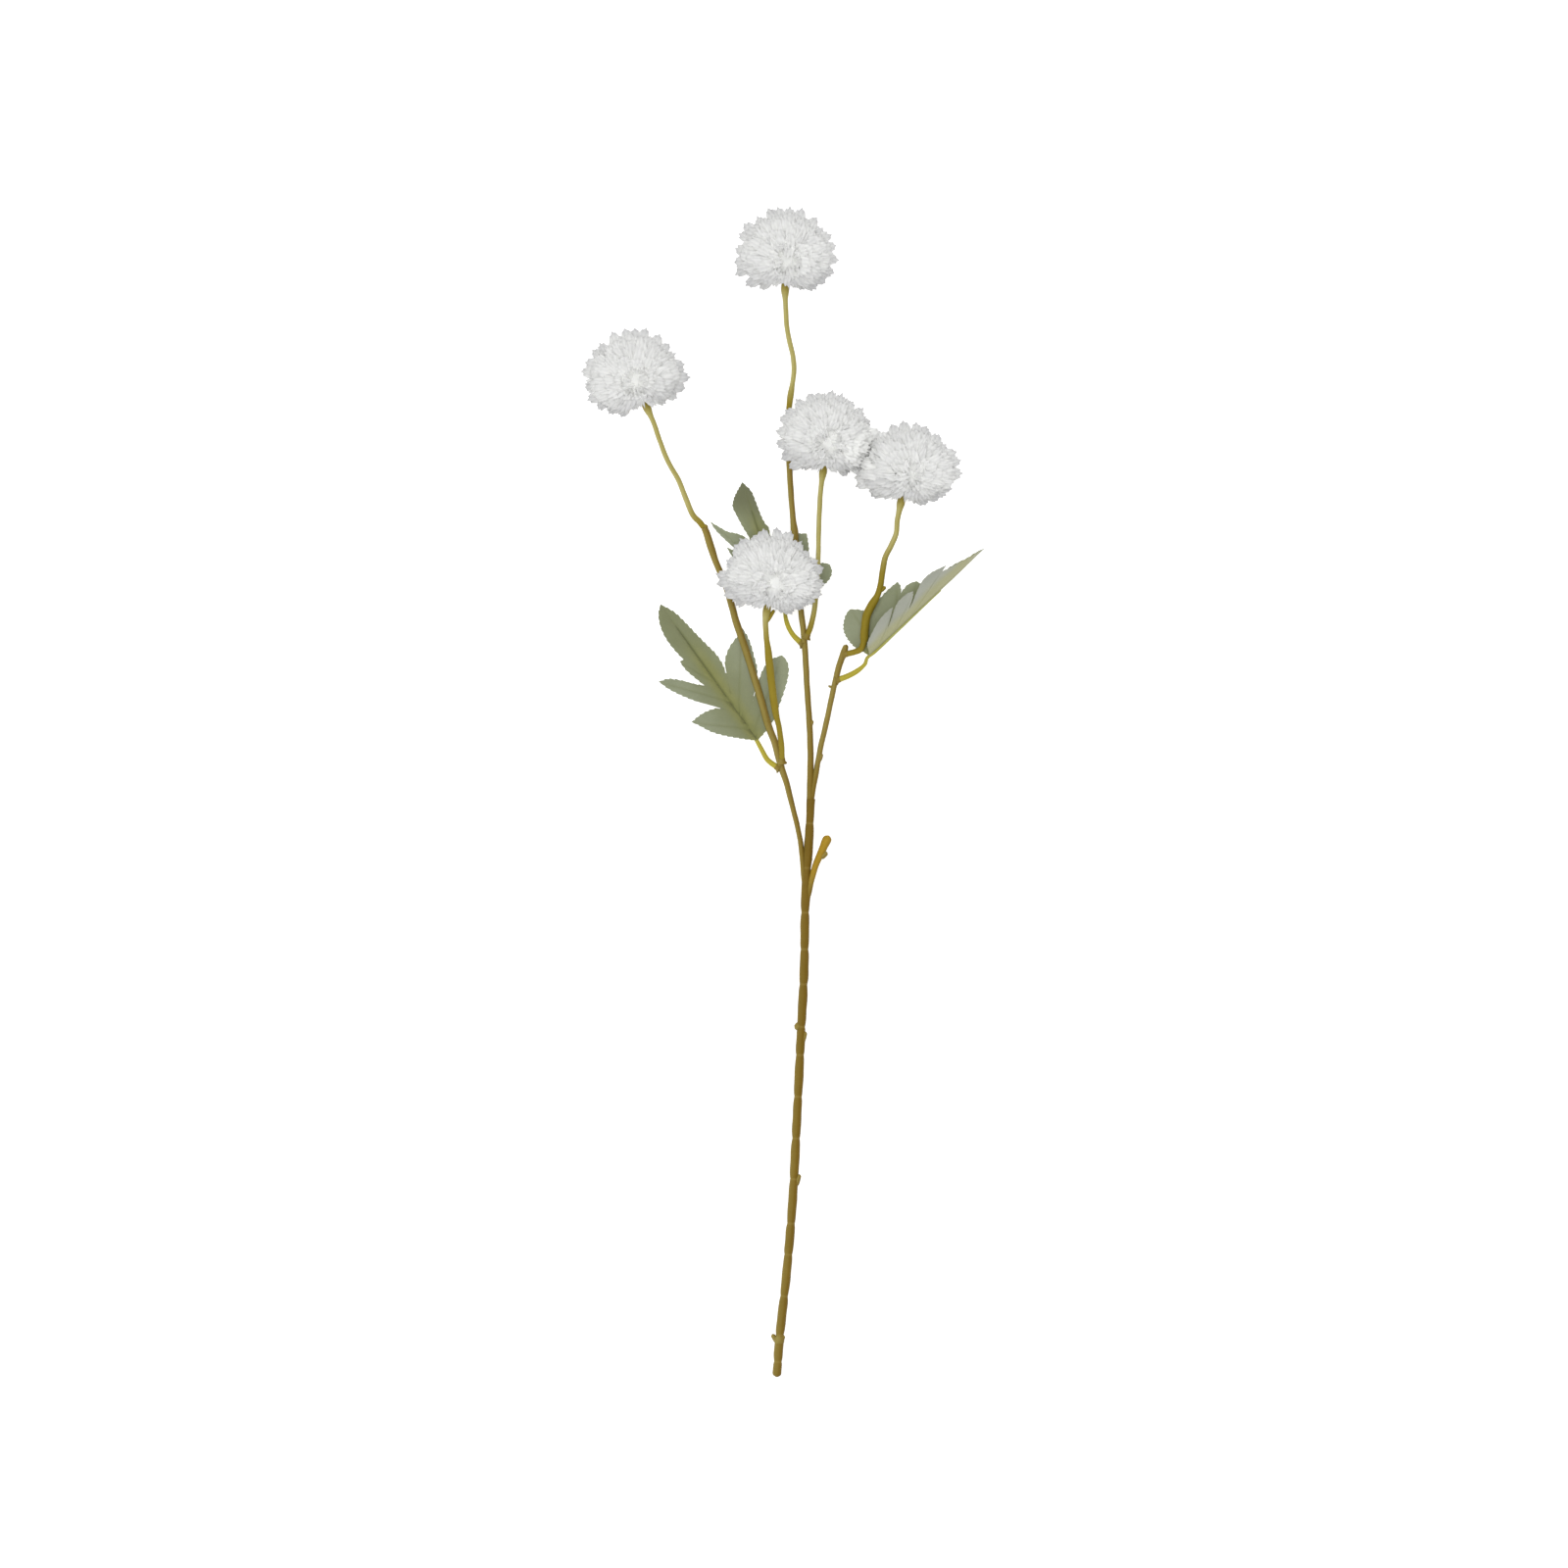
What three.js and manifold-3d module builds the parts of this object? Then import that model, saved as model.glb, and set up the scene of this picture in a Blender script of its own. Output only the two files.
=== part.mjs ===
// A cut spray of white pompon chrysanthemum, lying on a level surface at z = 0.
// Millimetres, +Z up. The stem runs along +Y, from its cut end to the topmost bloom.
// It has one ringed main stem with three branches and a cut stub, five flower stalks,
// three leaf stalks, three lobed leaves and five blooms.
import * as THREE from "three";
import { mergeVertices } from "three/addons/utils/BufferGeometryUtils.js";
import Module from "manifold-3d";

const wasm = await Module();
wasm.setup();

// Driving dimensions
const GAP = 0.35; // between a piece and its seat
const STEM_SIDES = 7;
const STALK_SIDES = 7;
const ROW_STEP = 13; // longest stretch of a stem between two rows of corners
const ROW_CLEARANCE = 0.45; // share of a step kept free beside a row that the radii ask for
const BOSS_RADIUS = 1.5; // of the boss that a stalk stands on, at its top
const BOSS_FLARE = 0.2; // how much wider it is inside the branch
const NUB_TIP_RADIUS = 0.7;
const NUB_ROOT_RADIUS = 1.2;
const NUB_SIDES = 6;
const RING_RADIUS = 1.85; // trunk at a ring
const SWELL_RADIUS = 2.2; // trunk midway between two rings
const LEAF_LENGTH = 86; // of the pattern below
const LEAF_THICKNESS = 0.8;
const RIB_RADIUS = 0.8;
const PETAL_THICKNESS = 0.7;
const PETAL_ROOT = 15.6; // distance of a petal's root from the middle of its bloom
const PETAL_PARTING = 17; // distance at which the petals of a ring part from each other
const TOOTH_DEPTH = 2.4;
const TOOTH_MARGIN = 0.08; // share of a petal's width that lies outside its teeth, on each side
const TIP_ROUND = 0.5; // how much a petal's tip is rounded, as a share of its length
const BLOOM_SIDE = 26.8; // reach of the petals at the widest ring
const BLOOM_TOP = 25.3;
const BLOOM_DROOP = 23; // reach of the petals that droop
const DROOP_ANGLE = 45; // degrees below the widest ring from which they reach no further
const POLE_SHARE = 0.93; // how far out the core's own top and bottom lie, against its roots
const STALK_END = 9; // how far below the middle of its bloom a stalk ends
const SURFACE = [400, 1400, 50]; // the block below z = 0 that trims what lies on it
const MERGE_DISTANCE = 1e-4; // corners of a geometry that are nearer than this are one

// Colours
const material = (color, roughness) =>
  new THREE.MeshStandardMaterial({ color, roughness, metalness: 0 });
const stemMaterial = material(0x8f7d3c, 0.6);
const stalkMaterial = material(0xa99a45, 0.6);
const leafStalkMaterial = material(0xb3b05a, 0.6);
const leafMaterial = material(0x7f9078, 0.85);
const petalMaterial = material(0xf4f4ee, 0.9);

// Routes: hand-chosen points of each middle line, in x, y, z
const TRUNK = [
  [-4, 0, 1.85],
  [-2.5, 20.7, 2.1],
  [0.8, 50.9, 2.5],
  [4, 88.7, 2.9],
  [6.8, 141.6, 3.3],
  [8.6, 179.4, 3.5],
  [10.1, 209.7, 3.7],
  [10.6, 239.9, 3.9],
  [11.2, 255, 4.1],
  [12.5, 275, 4.6],
  [13.6, 298, 5],
];
// Where the trunk has a ring, as y
const RINGS = [8, 21.7, 42, 63.5, 79.5, 102.5, 123.5, 145, 166.5, 181, 203, 221, 240, 263, 286];
const LEFT_BRANCH = [
  [10.6, 250, 4],
  [8.3, 275.2, 4.3],
  [6.3, 285.3, 4.5],
  [3.8, 295.3, 4.7],
  [1, 306.4, 4.8],
  [-2, 315.5, 4.9],
  [-5, 327.1, 5],
  [-8.3, 335.7, 5.2],
  [-12.6, 350.8, 5.3],
  [-20.4, 376, 5.5],
  [-24.7, 388.6, 5.5],
  [-29.7, 406.2, 5.5],
  [-35.8, 421.3, 5.5],
  [-40.8, 436.5, 5.5],
  [-41.9, 438.3, 5.5],
];
const CENTRE_BRANCH = [
  [12.8, 282, 4.8],
  [13.1, 295.3, 5],
  [13.4, 320.5, 5.3],
  [12.9, 335.7, 5.5],
  [11.6, 355.8, 5.7],
  [10.8, 370.9, 5.9],
  [9.6, 386.1, 6],
  [8.6, 393.6, 6],
  [7.1, 411.3, 6],
  [5.5, 431.4, 6],
  [4, 446.5, 6],
  [2.5, 469.2, 5.9],
  [2, 486.9, 5.9],
  [2.3, 499.2, 5.9],
];
const RIGHT_BRANCH = [
  [13.2, 289, 4.9],
  [13.8, 297.9, 5],
  [16.1, 310.5, 5.2],
  [18.6, 324.6, 5.4],
  [21.2, 335.7, 5.5],
  [25.5, 355.8, 5.8],
  [27.7, 364.9, 5.9],
  [30, 372, 6],
  [32, 377.5, 6],
];
const CUT_STUB = [
  [11.6, 246, 4],
  [12.5, 249.5, 4.5],
  [13.9, 256, 5.4],
  [16, 263.6, 6.3],
  [19.6, 272, 7.2],
  [22.8, 279.1, 7.8],
];
// Radius along each, as [share of the length, radius]
const LEFT_RADII = [
  [0, 1.2], [0.2, 1.2], [0.42, 1.7], [0.65, 1.7], [0.9, 1.5], [0.95, 1.75], [1, 1.5],
];
const CENTRE_RADII = [
  [0, 1.5], [0.1, 1.6], [0.2, 1.4], [0.66, 1.45], [0.69, 1.85], [0.72, 1.4], [1, 1.35],
];
const RIGHT_RADII = [[0, 1.4], [0.4, 1.25], [0.75, 1.3], [0.95, 1.5], [1, 1.2]];
const STUB_RADII = [[0, 1.6], [0.8, 1.65], [0.92, 1.8], [1, 1.95]];
// Small nubs left by trimmed twigs, as [x, y, z, heading in degrees from +X, length]
const NUBS = [
  [-3, 20.7, 2.6, 150, 3.4],
  [-2.3, 19.6, 2.6, 20, 3.2],
  [5.6, 103.5, 3.2, 35, 4],
  [8.4, 180.4, 3.8, 165, 3.6],
  [8.7, 177, 3.8, 20, 3.8],
  [12, 266.8, 4.6, 25, 3],
  [19.2, 270.4, 7.2, 5, 3.8],
  [12.8, 337.4, 5.7, 35, 2.8],
  [17.9, 320.4, 5.5, 35, 2.6],
  [25.2, 355.2, 5.9, 160, 3],
];

// Each bloom: where its petals spread from, its axis, the route of its stalk up to it with the
// stalk's radii, and the length of the boss that the stalk stands on where no branch ends there
const BLOOMS = [
  {
    middle: [-76.6, 513.6, 25],
    axis: [-0.32, 0.95, 0.22],
    stalk: [
      [-42.4, 438.9, 5.6],
      [-43.7, 440.6, 5.8],
      [-46.8, 443.6, 6.5],
      [-50.4, 451.6, 8.2],
      [-54.4, 461.7, 10.6],
      [-60, 471.7, 13.6],
      [-64, 481.8, 16.8],
      [-67.5, 491.9, 20],
    ],
    radii: [[0, 1.35], [0.5, 1.1], [0.8, 1.15], [0.93, 1.9], [1, 1.9]],
    seed: 11,
  },
  {
    middle: [0.7, 575.6, 24.6],
    axis: [0.08, 0.97, 0.2],
    stalk: [
      [2.35, 499.8, 5.95],
      [3.3, 507, 7],
      [4.8, 517.1, 9.6],
      [4.5, 524.7, 12],
      [2.8, 532.2, 14.6],
      [1.3, 539.8, 17.2],
      [0.7, 548.4, 20],
    ],
    radii: [[0, 1.3], [0.1, 1.5], [0.2, 1.1], [0.78, 1.15], [0.92, 1.9], [1, 1.9]],
    seed: 23,
  },
  {
    middle: [21.7, 481.8, 24.7],
    axis: [0.09, 0.97, 0.2],
    boss: 3,
    stalk: [
      [12.1, 383.2, 7.4],
      [13.4, 386.6, 8.1],
      [14.9, 392.6, 8.8],
      [16.1, 401.2, 9.4],
      [17, 411.3, 10.2],
      [17.4, 423.9, 11.8],
      [17.6, 436.5, 14.4],
      [18.1, 449.1, 17.6],
      [18.7, 457.6, 20],
    ],
    radii: [[0, 1.3], [0.3, 1.05], [0.8, 1.1], [0.93, 1.9], [1, 1.9]],
    seed: 37,
  },
  {
    middle: [-5.5, 410.3, 32.6],
    axis: [0.23, 0.96, 0.14],
    boss: 3,
    stalk: [
      [-1.3, 319.2, 7.2],
      [-1.6, 325.6, 9.4],
      [-2.8, 334.7, 12.4],
      [-4.5, 342.2, 15],
      [-5.8, 350.8, 17.8],
      [-7.3, 363.4, 21.6],
      [-8.3, 373, 24.4],
      [-9.5, 383.5, 27.4],
      [-9.6, 391, 29.4],
    ],
    radii: [[0, 1.3], [0.22, 1.25], [0.34, 1.8], [0.62, 1.8], [0.74, 1.3], [0.9, 1.9], [1, 1.9]],
    seed: 41,
  },
  {
    middle: [63.9, 465.7, 24.6],
    axis: [0.28, 0.95, 0.12],
    boss: 2.6,
    stalk: [
      [32.8, 372.9, 6.4],
      [36, 373.6, 7],
      [39.2, 375, 8],
      [40.8, 378.9, 9.4],
      [41.3, 385.1, 11],
      [42.3, 392.1, 12.6],
      [44.6, 397.2, 13.8],
      [47.6, 402.2, 15],
      [49.4, 408.2, 16.2],
      [50.4, 415.3, 17.5],
      [51.9, 422.4, 18.6],
      [54.9, 428.4, 19.6],
      [57.2, 433.9, 20.5],
      [58, 441.5, 21.9],
    ],
    radii: [
      [0, 1.3], [0.12, 1.4], [0.16, 2], [0.34, 2.05], [0.42, 1.4], [0.85, 1.3], [0.94, 1.9], [1, 1.9],
    ],
    seed: 59,
  },
];
// Blooms 3 and 5 press on each other at a plane between them, which leans so that 5 lies on top.
const PRESSED = [2, 4];
const PRESS_LEAN = 0.45;

// The petals' rings, from the top down: angle of the tips from the axis in degrees, number of
// petals, teeth of each, and how far a petal curls outwards on its way, in degrees
const PETAL_RINGS = [
  { angle: 11, count: 4, teeth: 3, curl: -12 },
  { angle: 28, count: 7, teeth: 3, curl: -10 },
  { angle: 43, count: 9, teeth: 3, curl: -8 },
  { angle: 58, count: 10, teeth: 3, curl: -5 },
  { angle: 73, count: 11, teeth: 3, curl: -1 },
  { angle: 88, count: 11, teeth: 3, curl: 4 },
  { angle: 104, count: 10, teeth: 3, curl: 9 },
  { angle: 120, count: 9, teeth: 3, curl: 14 },
  { angle: 137, count: 7, teeth: 3, curl: 20 },
];
const LENGTH_SPREAD = 0.07; // how much shorter than its ring's reach a petal can be
const LEAN_SPREAD = 4; // degrees that a petal leans from its ring
const CUP = 5; // degrees that a petal's edges lie nearer to the axis than its middle

// One half of a leaf's edge, from the base to the tip: along the rib, and out from it.
// It goes round the basal lobe, into a deep cut, round the side lobe, and up the end lobe.
const LEAF_EDGE = [
  [0.8, 5.4], [2.4, 11.8], [6.4, 18.4], [10.6, 25], [15.8, 31], [21.6, 35], [28, 35.8],
  [29.6, 30], [28.6, 23.8], [25.2, 16.8], [17.6, 6.8],
  [25.6, 12], [32.6, 18.2], [40, 23.4], [46.8, 27], [53.6, 27.8],
  [52.8, 22.6], [50.2, 17.6], [46, 12.8], [33.6, 5.8],
  [43.4, 8], [49.4, 9.2], [56, 9.5], [63, 8.9], [70, 7.8], [77, 5.9], [82.4, 3.4],
];
const SERRATION = 0.5; // depth of the small notch after each point of the edge
const SERRATION_LENGTH = 1.1;
const RIB_STATIONS = [0, 12, 24, 34, 44, 54, 66, 76, LEAF_LENGTH];
// Each leaf: where its blade starts and its tip points, how its rib arches, for each half its
// tilt in degrees, its width and how far its lobes sweep towards the tip, and its stalk's boss
const LEAVES = [
  {
    base: [-13.8, 328.4, 2.9],
    tip: [-63.9, 398.3, 2.6],
    arch: 0.6,
    left: { tilt: 27, width: 0.95, sweep: 0 },
    right: { tilt: -3, width: 1.03, sweep: 0 },
    boss: 2.8,
    stalk: [
      [-4.6, 314.9, 4.4],
      [-8.6, 318, 3.4],
      [-11.6, 323, 2.2],
    ],
  },
  {
    base: [0.2, 396.6, 2.6],
    tip: [-21.7, 461.2, 4],
    arch: 0,
    left: { tilt: 8, width: 0.7, sweep: 0.5 },
    right: { tilt: -1.5, width: 0.88, sweep: -0.36 },
    boss: 2.8,
    stalk: [
      [7.9, 379, 5],
      [4, 383, 3.6],
      [1.1, 389.2, 1.9],
    ],
  },
  {
    base: [43.3, 372, 5.6],
    tip: [102.8, 426.9, 9],
    arch: 1.5,
    left: { tilt: -6, width: 0.72, sweep: -0.45 },
    right: { tilt: 107, width: 0.95, sweep: 0.35 },
    boss: 2.6,
    stalk: [
      [29.2, 360.4, 5.6],
      [35.3, 362.9, 5.2],
      [40.4, 367.2, 5],
    ],
  },
];
// Where the rib's route under the blade has a point, as shares of the leaf's length
const RIB_ROUTE = [0.04, 0.2, 0.36, 0.5, 0.62];
const LEAF_STALK_RADII = [[0, 1.35], [0.15, 1.25], [0.32, RIB_RADIUS], [1, 0.5 * RIB_RADIUS]];

const vector = (point) => new THREE.Vector3(...point);
const UP = new THREE.Vector3(0, 0, 1);
const degrees = THREE.MathUtils.degToRad;

// Repeatable random numbers between -1 and 1
function randomFrom(seed) {
  const modulus = 2 ** 31 - 1;
  const factor = 7 ** 5;
  let state = seed;
  return () => {
    state = (state * factor) % modulus;
    return (2 * state) / modulus - 1;
  };
}

// The solid that a closed geometry bounds, with its faces turned outwards
function solidOf(geometry) {
  const bare = new THREE.BufferGeometry();
  bare.setAttribute("position", geometry.getAttribute("position"));
  bare.setIndex(geometry.index);
  const merged = mergeVertices(bare, MERGE_DISTANCE);
  const corners = merged.index.array;
  const build = (order) => {
    const triVerts = [];
    for (let i = 0; i < corners.length; i += 3) {
      const face = order.map((k) => corners[i + k]);
      if (new Set(face).size === 3) triVerts.push(...face);
    }
    const vertProperties = merged.attributes.position.array;
    return new wasm.Manifold(
      new wasm.Mesh({ numProp: 3, vertProperties, triVerts: new Uint32Array(triVerts) }),
    );
  };
  const solid = build([0, 1, 2]);
  return solid.volume() > 0 ? solid : build([0, 2, 1]);
}

const join = (solids) => solids.reduce((whole, piece) => whole.add(piece));

// The biggest body of a solid, so that no loose scrap of a trimmed petal stays
function biggest(solid) {
  return solid.decompose().reduce((a, b) => (a.volume() > b.volume() ? a : b));
}

function meshOf(name, solid, meshMaterial) {
  const { vertProperties, triVerts } = solid.getMesh();
  const geometry = new THREE.BufferGeometry();
  geometry.setAttribute("position", new THREE.BufferAttribute(vertProperties, 3));
  geometry.setIndex(new THREE.BufferAttribute(triVerts, 1));
  geometry.computeVertexNormals();
  const mesh = new THREE.Mesh(geometry, meshMaterial);
  mesh.name = name;
  return mesh;
}

// What of a solid lies above the surface z = 0, so that it rests on small flats
function rested(solid) {
  const below = new THREE.BoxGeometry(...SURFACE);
  below.translate(0, 0, -SURFACE[2] / 2);
  return solid.subtract(solidOf(below));
}

// The value at a share of the length, between the values that a list of [share, value] gives
function valueAt(list, share) {
  const next = list.findIndex(([at]) => at >= share);
  if (next < 1) return list[next < 0 ? list.length - 1 : 0][1];
  const [[from, low], [to, high]] = [list[next - 1], list[next]];
  return low + ((share - from) / (to - from)) * (high - low);
}

// A round stem along a smooth route: a turned profile of radius against length, bent to the
// route. It is grown by an allowance all round and past both ends where a seat is cut with it.
function stem(route, radii, sides, allowance = 0) {
  const curve = new THREE.CatmullRomCurve3(route.map(vector), false, "centripetal");
  const length = curve.getLength();
  const shares = new Set(radii.map(([share]) => share));
  const rows = Math.ceil(length / ROW_STEP);
  for (let i = 0; i <= rows; i++) {
    const apart = [...shares].map((share) => Math.abs(share - i / rows) * length);
    if (Math.min(...apart) >= ROW_CLEARANCE * ROW_STEP) shares.add(i / rows);
  }
  const profile = [...shares]
    .sort((a, b) => a - b)
    .map((share) => new THREE.Vector2(valueAt(radii, share) + allowance, share * length));
  profile[0].y -= allowance;
  profile.at(-1).y += allowance;
  profile.unshift(new THREE.Vector2(0, profile[0].y));
  profile.push(new THREE.Vector2(0, profile.at(-1).y));
  const geometry = new THREE.LatheGeometry(profile, sides);
  const position = geometry.getAttribute("position");
  const vertex = new THREE.Vector3();
  for (let i = 0; i < position.count; i++) {
    vertex.fromBufferAttribute(position, i);
    const share = THREE.MathUtils.clamp(vertex.y / length, 0, 1);
    const tangent = curve.getTangentAt(share);
    const side = new THREE.Vector3().crossVectors(tangent, UP).normalize();
    const over = new THREE.Vector3().crossVectors(side, tangent);
    const point = curve.getPointAt(share);
    point.addScaledVector(tangent, vertex.y - share * length);
    point.addScaledVector(side, vertex.x).addScaledVector(over, vertex.z);
    position.setXYZ(i, point.x, point.y, point.z);
  }
  return solidOf(geometry);
}

// A short straight boss that a stalk stands on, from inside the branch to the stalk's foot
function boss(route, length) {
  const foot = vector(route[0]);
  const heading = vector(route[1]).sub(foot).normalize();
  const root = foot.clone().addScaledVector(heading, -length);
  const top = foot.clone().addScaledVector(heading, -GAP);
  const radii = [[0, BOSS_RADIUS + BOSS_FLARE], [1, BOSS_RADIUS]];
  return stem([root.toArray(), top.toArray()], radii, STEM_SIDES);
}

// A short straight nub that starts at a point inside the stem
function nub([x, y, z, heading, length]) {
  const geometry = new THREE.CylinderGeometry(NUB_TIP_RADIUS, NUB_ROOT_RADIUS, length, NUB_SIDES);
  geometry.translate(0, length / 2, 0);
  geometry.rotateZ(degrees(heading - 90));
  geometry.translate(x, y, z);
  return solidOf(geometry);
}

// The trunk is pinched at each ring and swells midway to the next.
function trunkRadii() {
  const length = new THREE.CatmullRomCurve3(TRUNK.map(vector), false, "centripetal").getLength();
  const radii = [[0, RING_RADIUS]];
  RINGS.forEach((ring, i) => {
    const before = i ? RINGS[i - 1] : 0;
    radii.push([(before + ring) / 2 / length, SWELL_RADIUS]);
    radii.push([ring / length, RING_RADIUS]);
  });
  radii.push([1, RING_RADIUS]);
  return radii;
}

// Adds a sheet of some thickness to a surface: its triangles on both faces, and a wall along
// each open edge that isn't a seam. A corner is a point, and its offset to the upper face.
function addSheet(surface, corners, faces, isSeam = () => false) {
  const upper = surface.points.length;
  const lower = upper + corners.length;
  for (const { point, offset } of corners) surface.points.push(point.clone().add(offset));
  for (const { point, offset } of corners) surface.points.push(point.clone().sub(offset));
  const edges = new Set(faces.flatMap(([a, b, c]) => [`${a},${b}`, `${b},${c}`, `${c},${a}`]));
  for (const [a, b, c] of faces) {
    surface.index.push(upper + a, upper + b, upper + c, lower + c, lower + b, lower + a);
  }
  for (const edge of edges) {
    const [a, b] = edge.split(",").map(Number);
    if (edges.has(`${b},${a}`) || isSeam(a, b)) continue;
    surface.index.push(upper + b, upper + a, lower + a, upper + b, lower + a, lower + b);
  }
  return { upper, lower };
}

// The solid inside a surface of points and triangles
function closed({ points, index }) {
  const geometry = new THREE.BufferGeometry().setFromPoints(points);
  geometry.setIndex(index);
  return solidOf(geometry);
}

// The triangles of one ring of corners, which is flat in u and v, all turned one way
function facesOf(ring, flat) {
  const outline = ring.map((i) => new THREE.Vector2(...flat[i]));
  if (THREE.ShapeUtils.area(outline) < 0) {
    outline.reverse();
    ring.reverse();
  }
  return THREE.ShapeUtils.triangulateShape(outline, []).map((face) => face.map((i) => ring[i]));
}

// How a leaf's flat pattern is lifted: each half is a plane that meets the other at the rib
function leafLift({ base, tip, arch, left, right }) {
  const start = vector(base);
  const along = vector(tip).sub(start);
  const scale = along.length() / LEAF_LENGTH;
  along.normalize();
  const leftwards = new THREE.Vector3().crossVectors(UP, along).normalize();
  const over = new THREE.Vector3().crossVectors(along, leftwards);
  const halfOf = (half, side) => {
    const tilt = degrees(half.tilt);
    const outwards = new THREE.Vector3()
      .addScaledVector(leftwards, side * Math.cos(tilt))
      .addScaledVector(over, Math.sin(tilt));
    const normal = new THREE.Vector3()
      .addScaledVector(over, Math.cos(tilt))
      .addScaledVector(leftwards, -side * Math.sin(tilt));
    return { outwards, normal, ...half };
  };
  const halves = [halfOf(left, 1), halfOf(right, -1)];
  const middle = halves[0].normal.clone().add(halves[1].normal).normalize();
  const mitre = 1 / middle.dot(halves[0].normal);
  return (u, v) => {
    const half = halves[v < 0 ? 1 : 0];
    const out = Math.abs(v);
    const rise = arch * Math.sin((Math.PI * u) / LEAF_LENGTH);
    const point = start
      .clone()
      .addScaledVector(along, scale * (u + half.sweep * out))
      .addScaledVector(half.outwards, half.width * out)
      .addScaledVector(over, rise);
    const offset = out ? half.normal.clone() : middle.clone().multiplyScalar(mitre);
    return { point, offset: offset.multiplyScalar(LEAF_THICKNESS / 2) };
  };
}

// The edge with its small forward teeth: a notch just after each point
function serrated(edge) {
  return edge.flatMap(([u, v], i) => {
    const [nextU, nextV] = edge[i + 1] ?? [LEAF_LENGTH, 0];
    const length = Math.hypot(nextU - u, nextV - v);
    const [alongU, alongV] = [(nextU - u) / length, (nextV - v) / length];
    const notch = [
      u + SERRATION_LENGTH * alongU + SERRATION * alongV,
      v + SERRATION_LENGTH * alongV - SERRATION * alongU,
    ];
    return [[u, v], notch];
  });
}

// A leaf: both halves of its pattern share the points of the rib.
function leaf(design) {
  const lift = leafLift(design);
  const edge = serrated(LEAF_EDGE);
  const spine = RIB_STATIONS.map((u) => [u, 0]);
  const flat = [...spine, ...edge, ...edge.map(([u, v]) => [u, -v])];
  const half = (first) => [...spine.keys(), ...edge.map((_, i) => first + i).reverse()];
  const faces = [
    ...facesOf(half(spine.length), flat),
    ...facesOf(half(spine.length + edge.length), flat),
  ];
  const surface = { points: [], index: [] };
  addSheet(surface, flat.map(([u, v]) => lift(u, v)), faces);
  return closed(surface);
}

// A leaf stalk comes from its boss, dips under the blade and runs on as its rib.
function leafStalkRoute(design) {
  const lift = leafLift(design);
  const under = RIB_ROUTE.map((share) => {
    const { point, offset } = lift(share * LEAF_LENGTH, 0);
    const drop = 1 + (GAP + RIB_RADIUS) / offset.length();
    return point.addScaledVector(offset, -drop).toArray();
  });
  return [...design.stalk, ...under];
}

// How far a point can lie in a direction before it meets the plane of a pressing neighbour
function within(plane, middle, direction, distance) {
  const towards = plane ? plane.normal.dot(direction) : 0;
  if (towards <= 0) return distance;
  return Math.min(distance, -plane.distanceToPoint(middle) / towards - GAP - PETAL_THICKNESS / 2);
}

// The reach of a petal whose tip is at an angle from the axis: nearly a ball, drawn in below
function bloomReach(angle) {
  if (angle < Math.PI / 2) return BLOOM_TOP + (BLOOM_SIDE - BLOOM_TOP) * Math.sin(angle) ** 2;
  const low = Math.min(1, (angle - Math.PI / 2) / degrees(DROOP_ANGLE));
  return BLOOM_SIDE + (BLOOM_DROOP - BLOOM_SIDE) * low * low;
}

// One petal's panel, flat: across as a share of its width, and out as a share of its length.
// The first two points are on the root and the parting that it shares with its neighbour.
function petalPanel(teeth) {
  const panel = [[0, -1], [0, 0]];
  const notch = 1 - TOOTH_DEPTH / (BLOOM_SIDE - PETAL_PARTING);
  const last = 2 * teeth - 2;
  for (let i = 0; i <= last; i++) {
    const across = TOOTH_MARGIN + (1 - 2 * TOOTH_MARGIN) * (i / last);
    panel.push([across, (i % 2 ? notch : 1) - TIP_ROUND * (across - 0.5) ** 2]);
  }
  return panel;
}

// A direction at an angle from the bloom's axis, and at another round it
function headingOf(turn, polar, around) {
  return new THREE.Vector3().setFromSphericalCoords(1, polar, around).applyQuaternion(turn);
}

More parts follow.
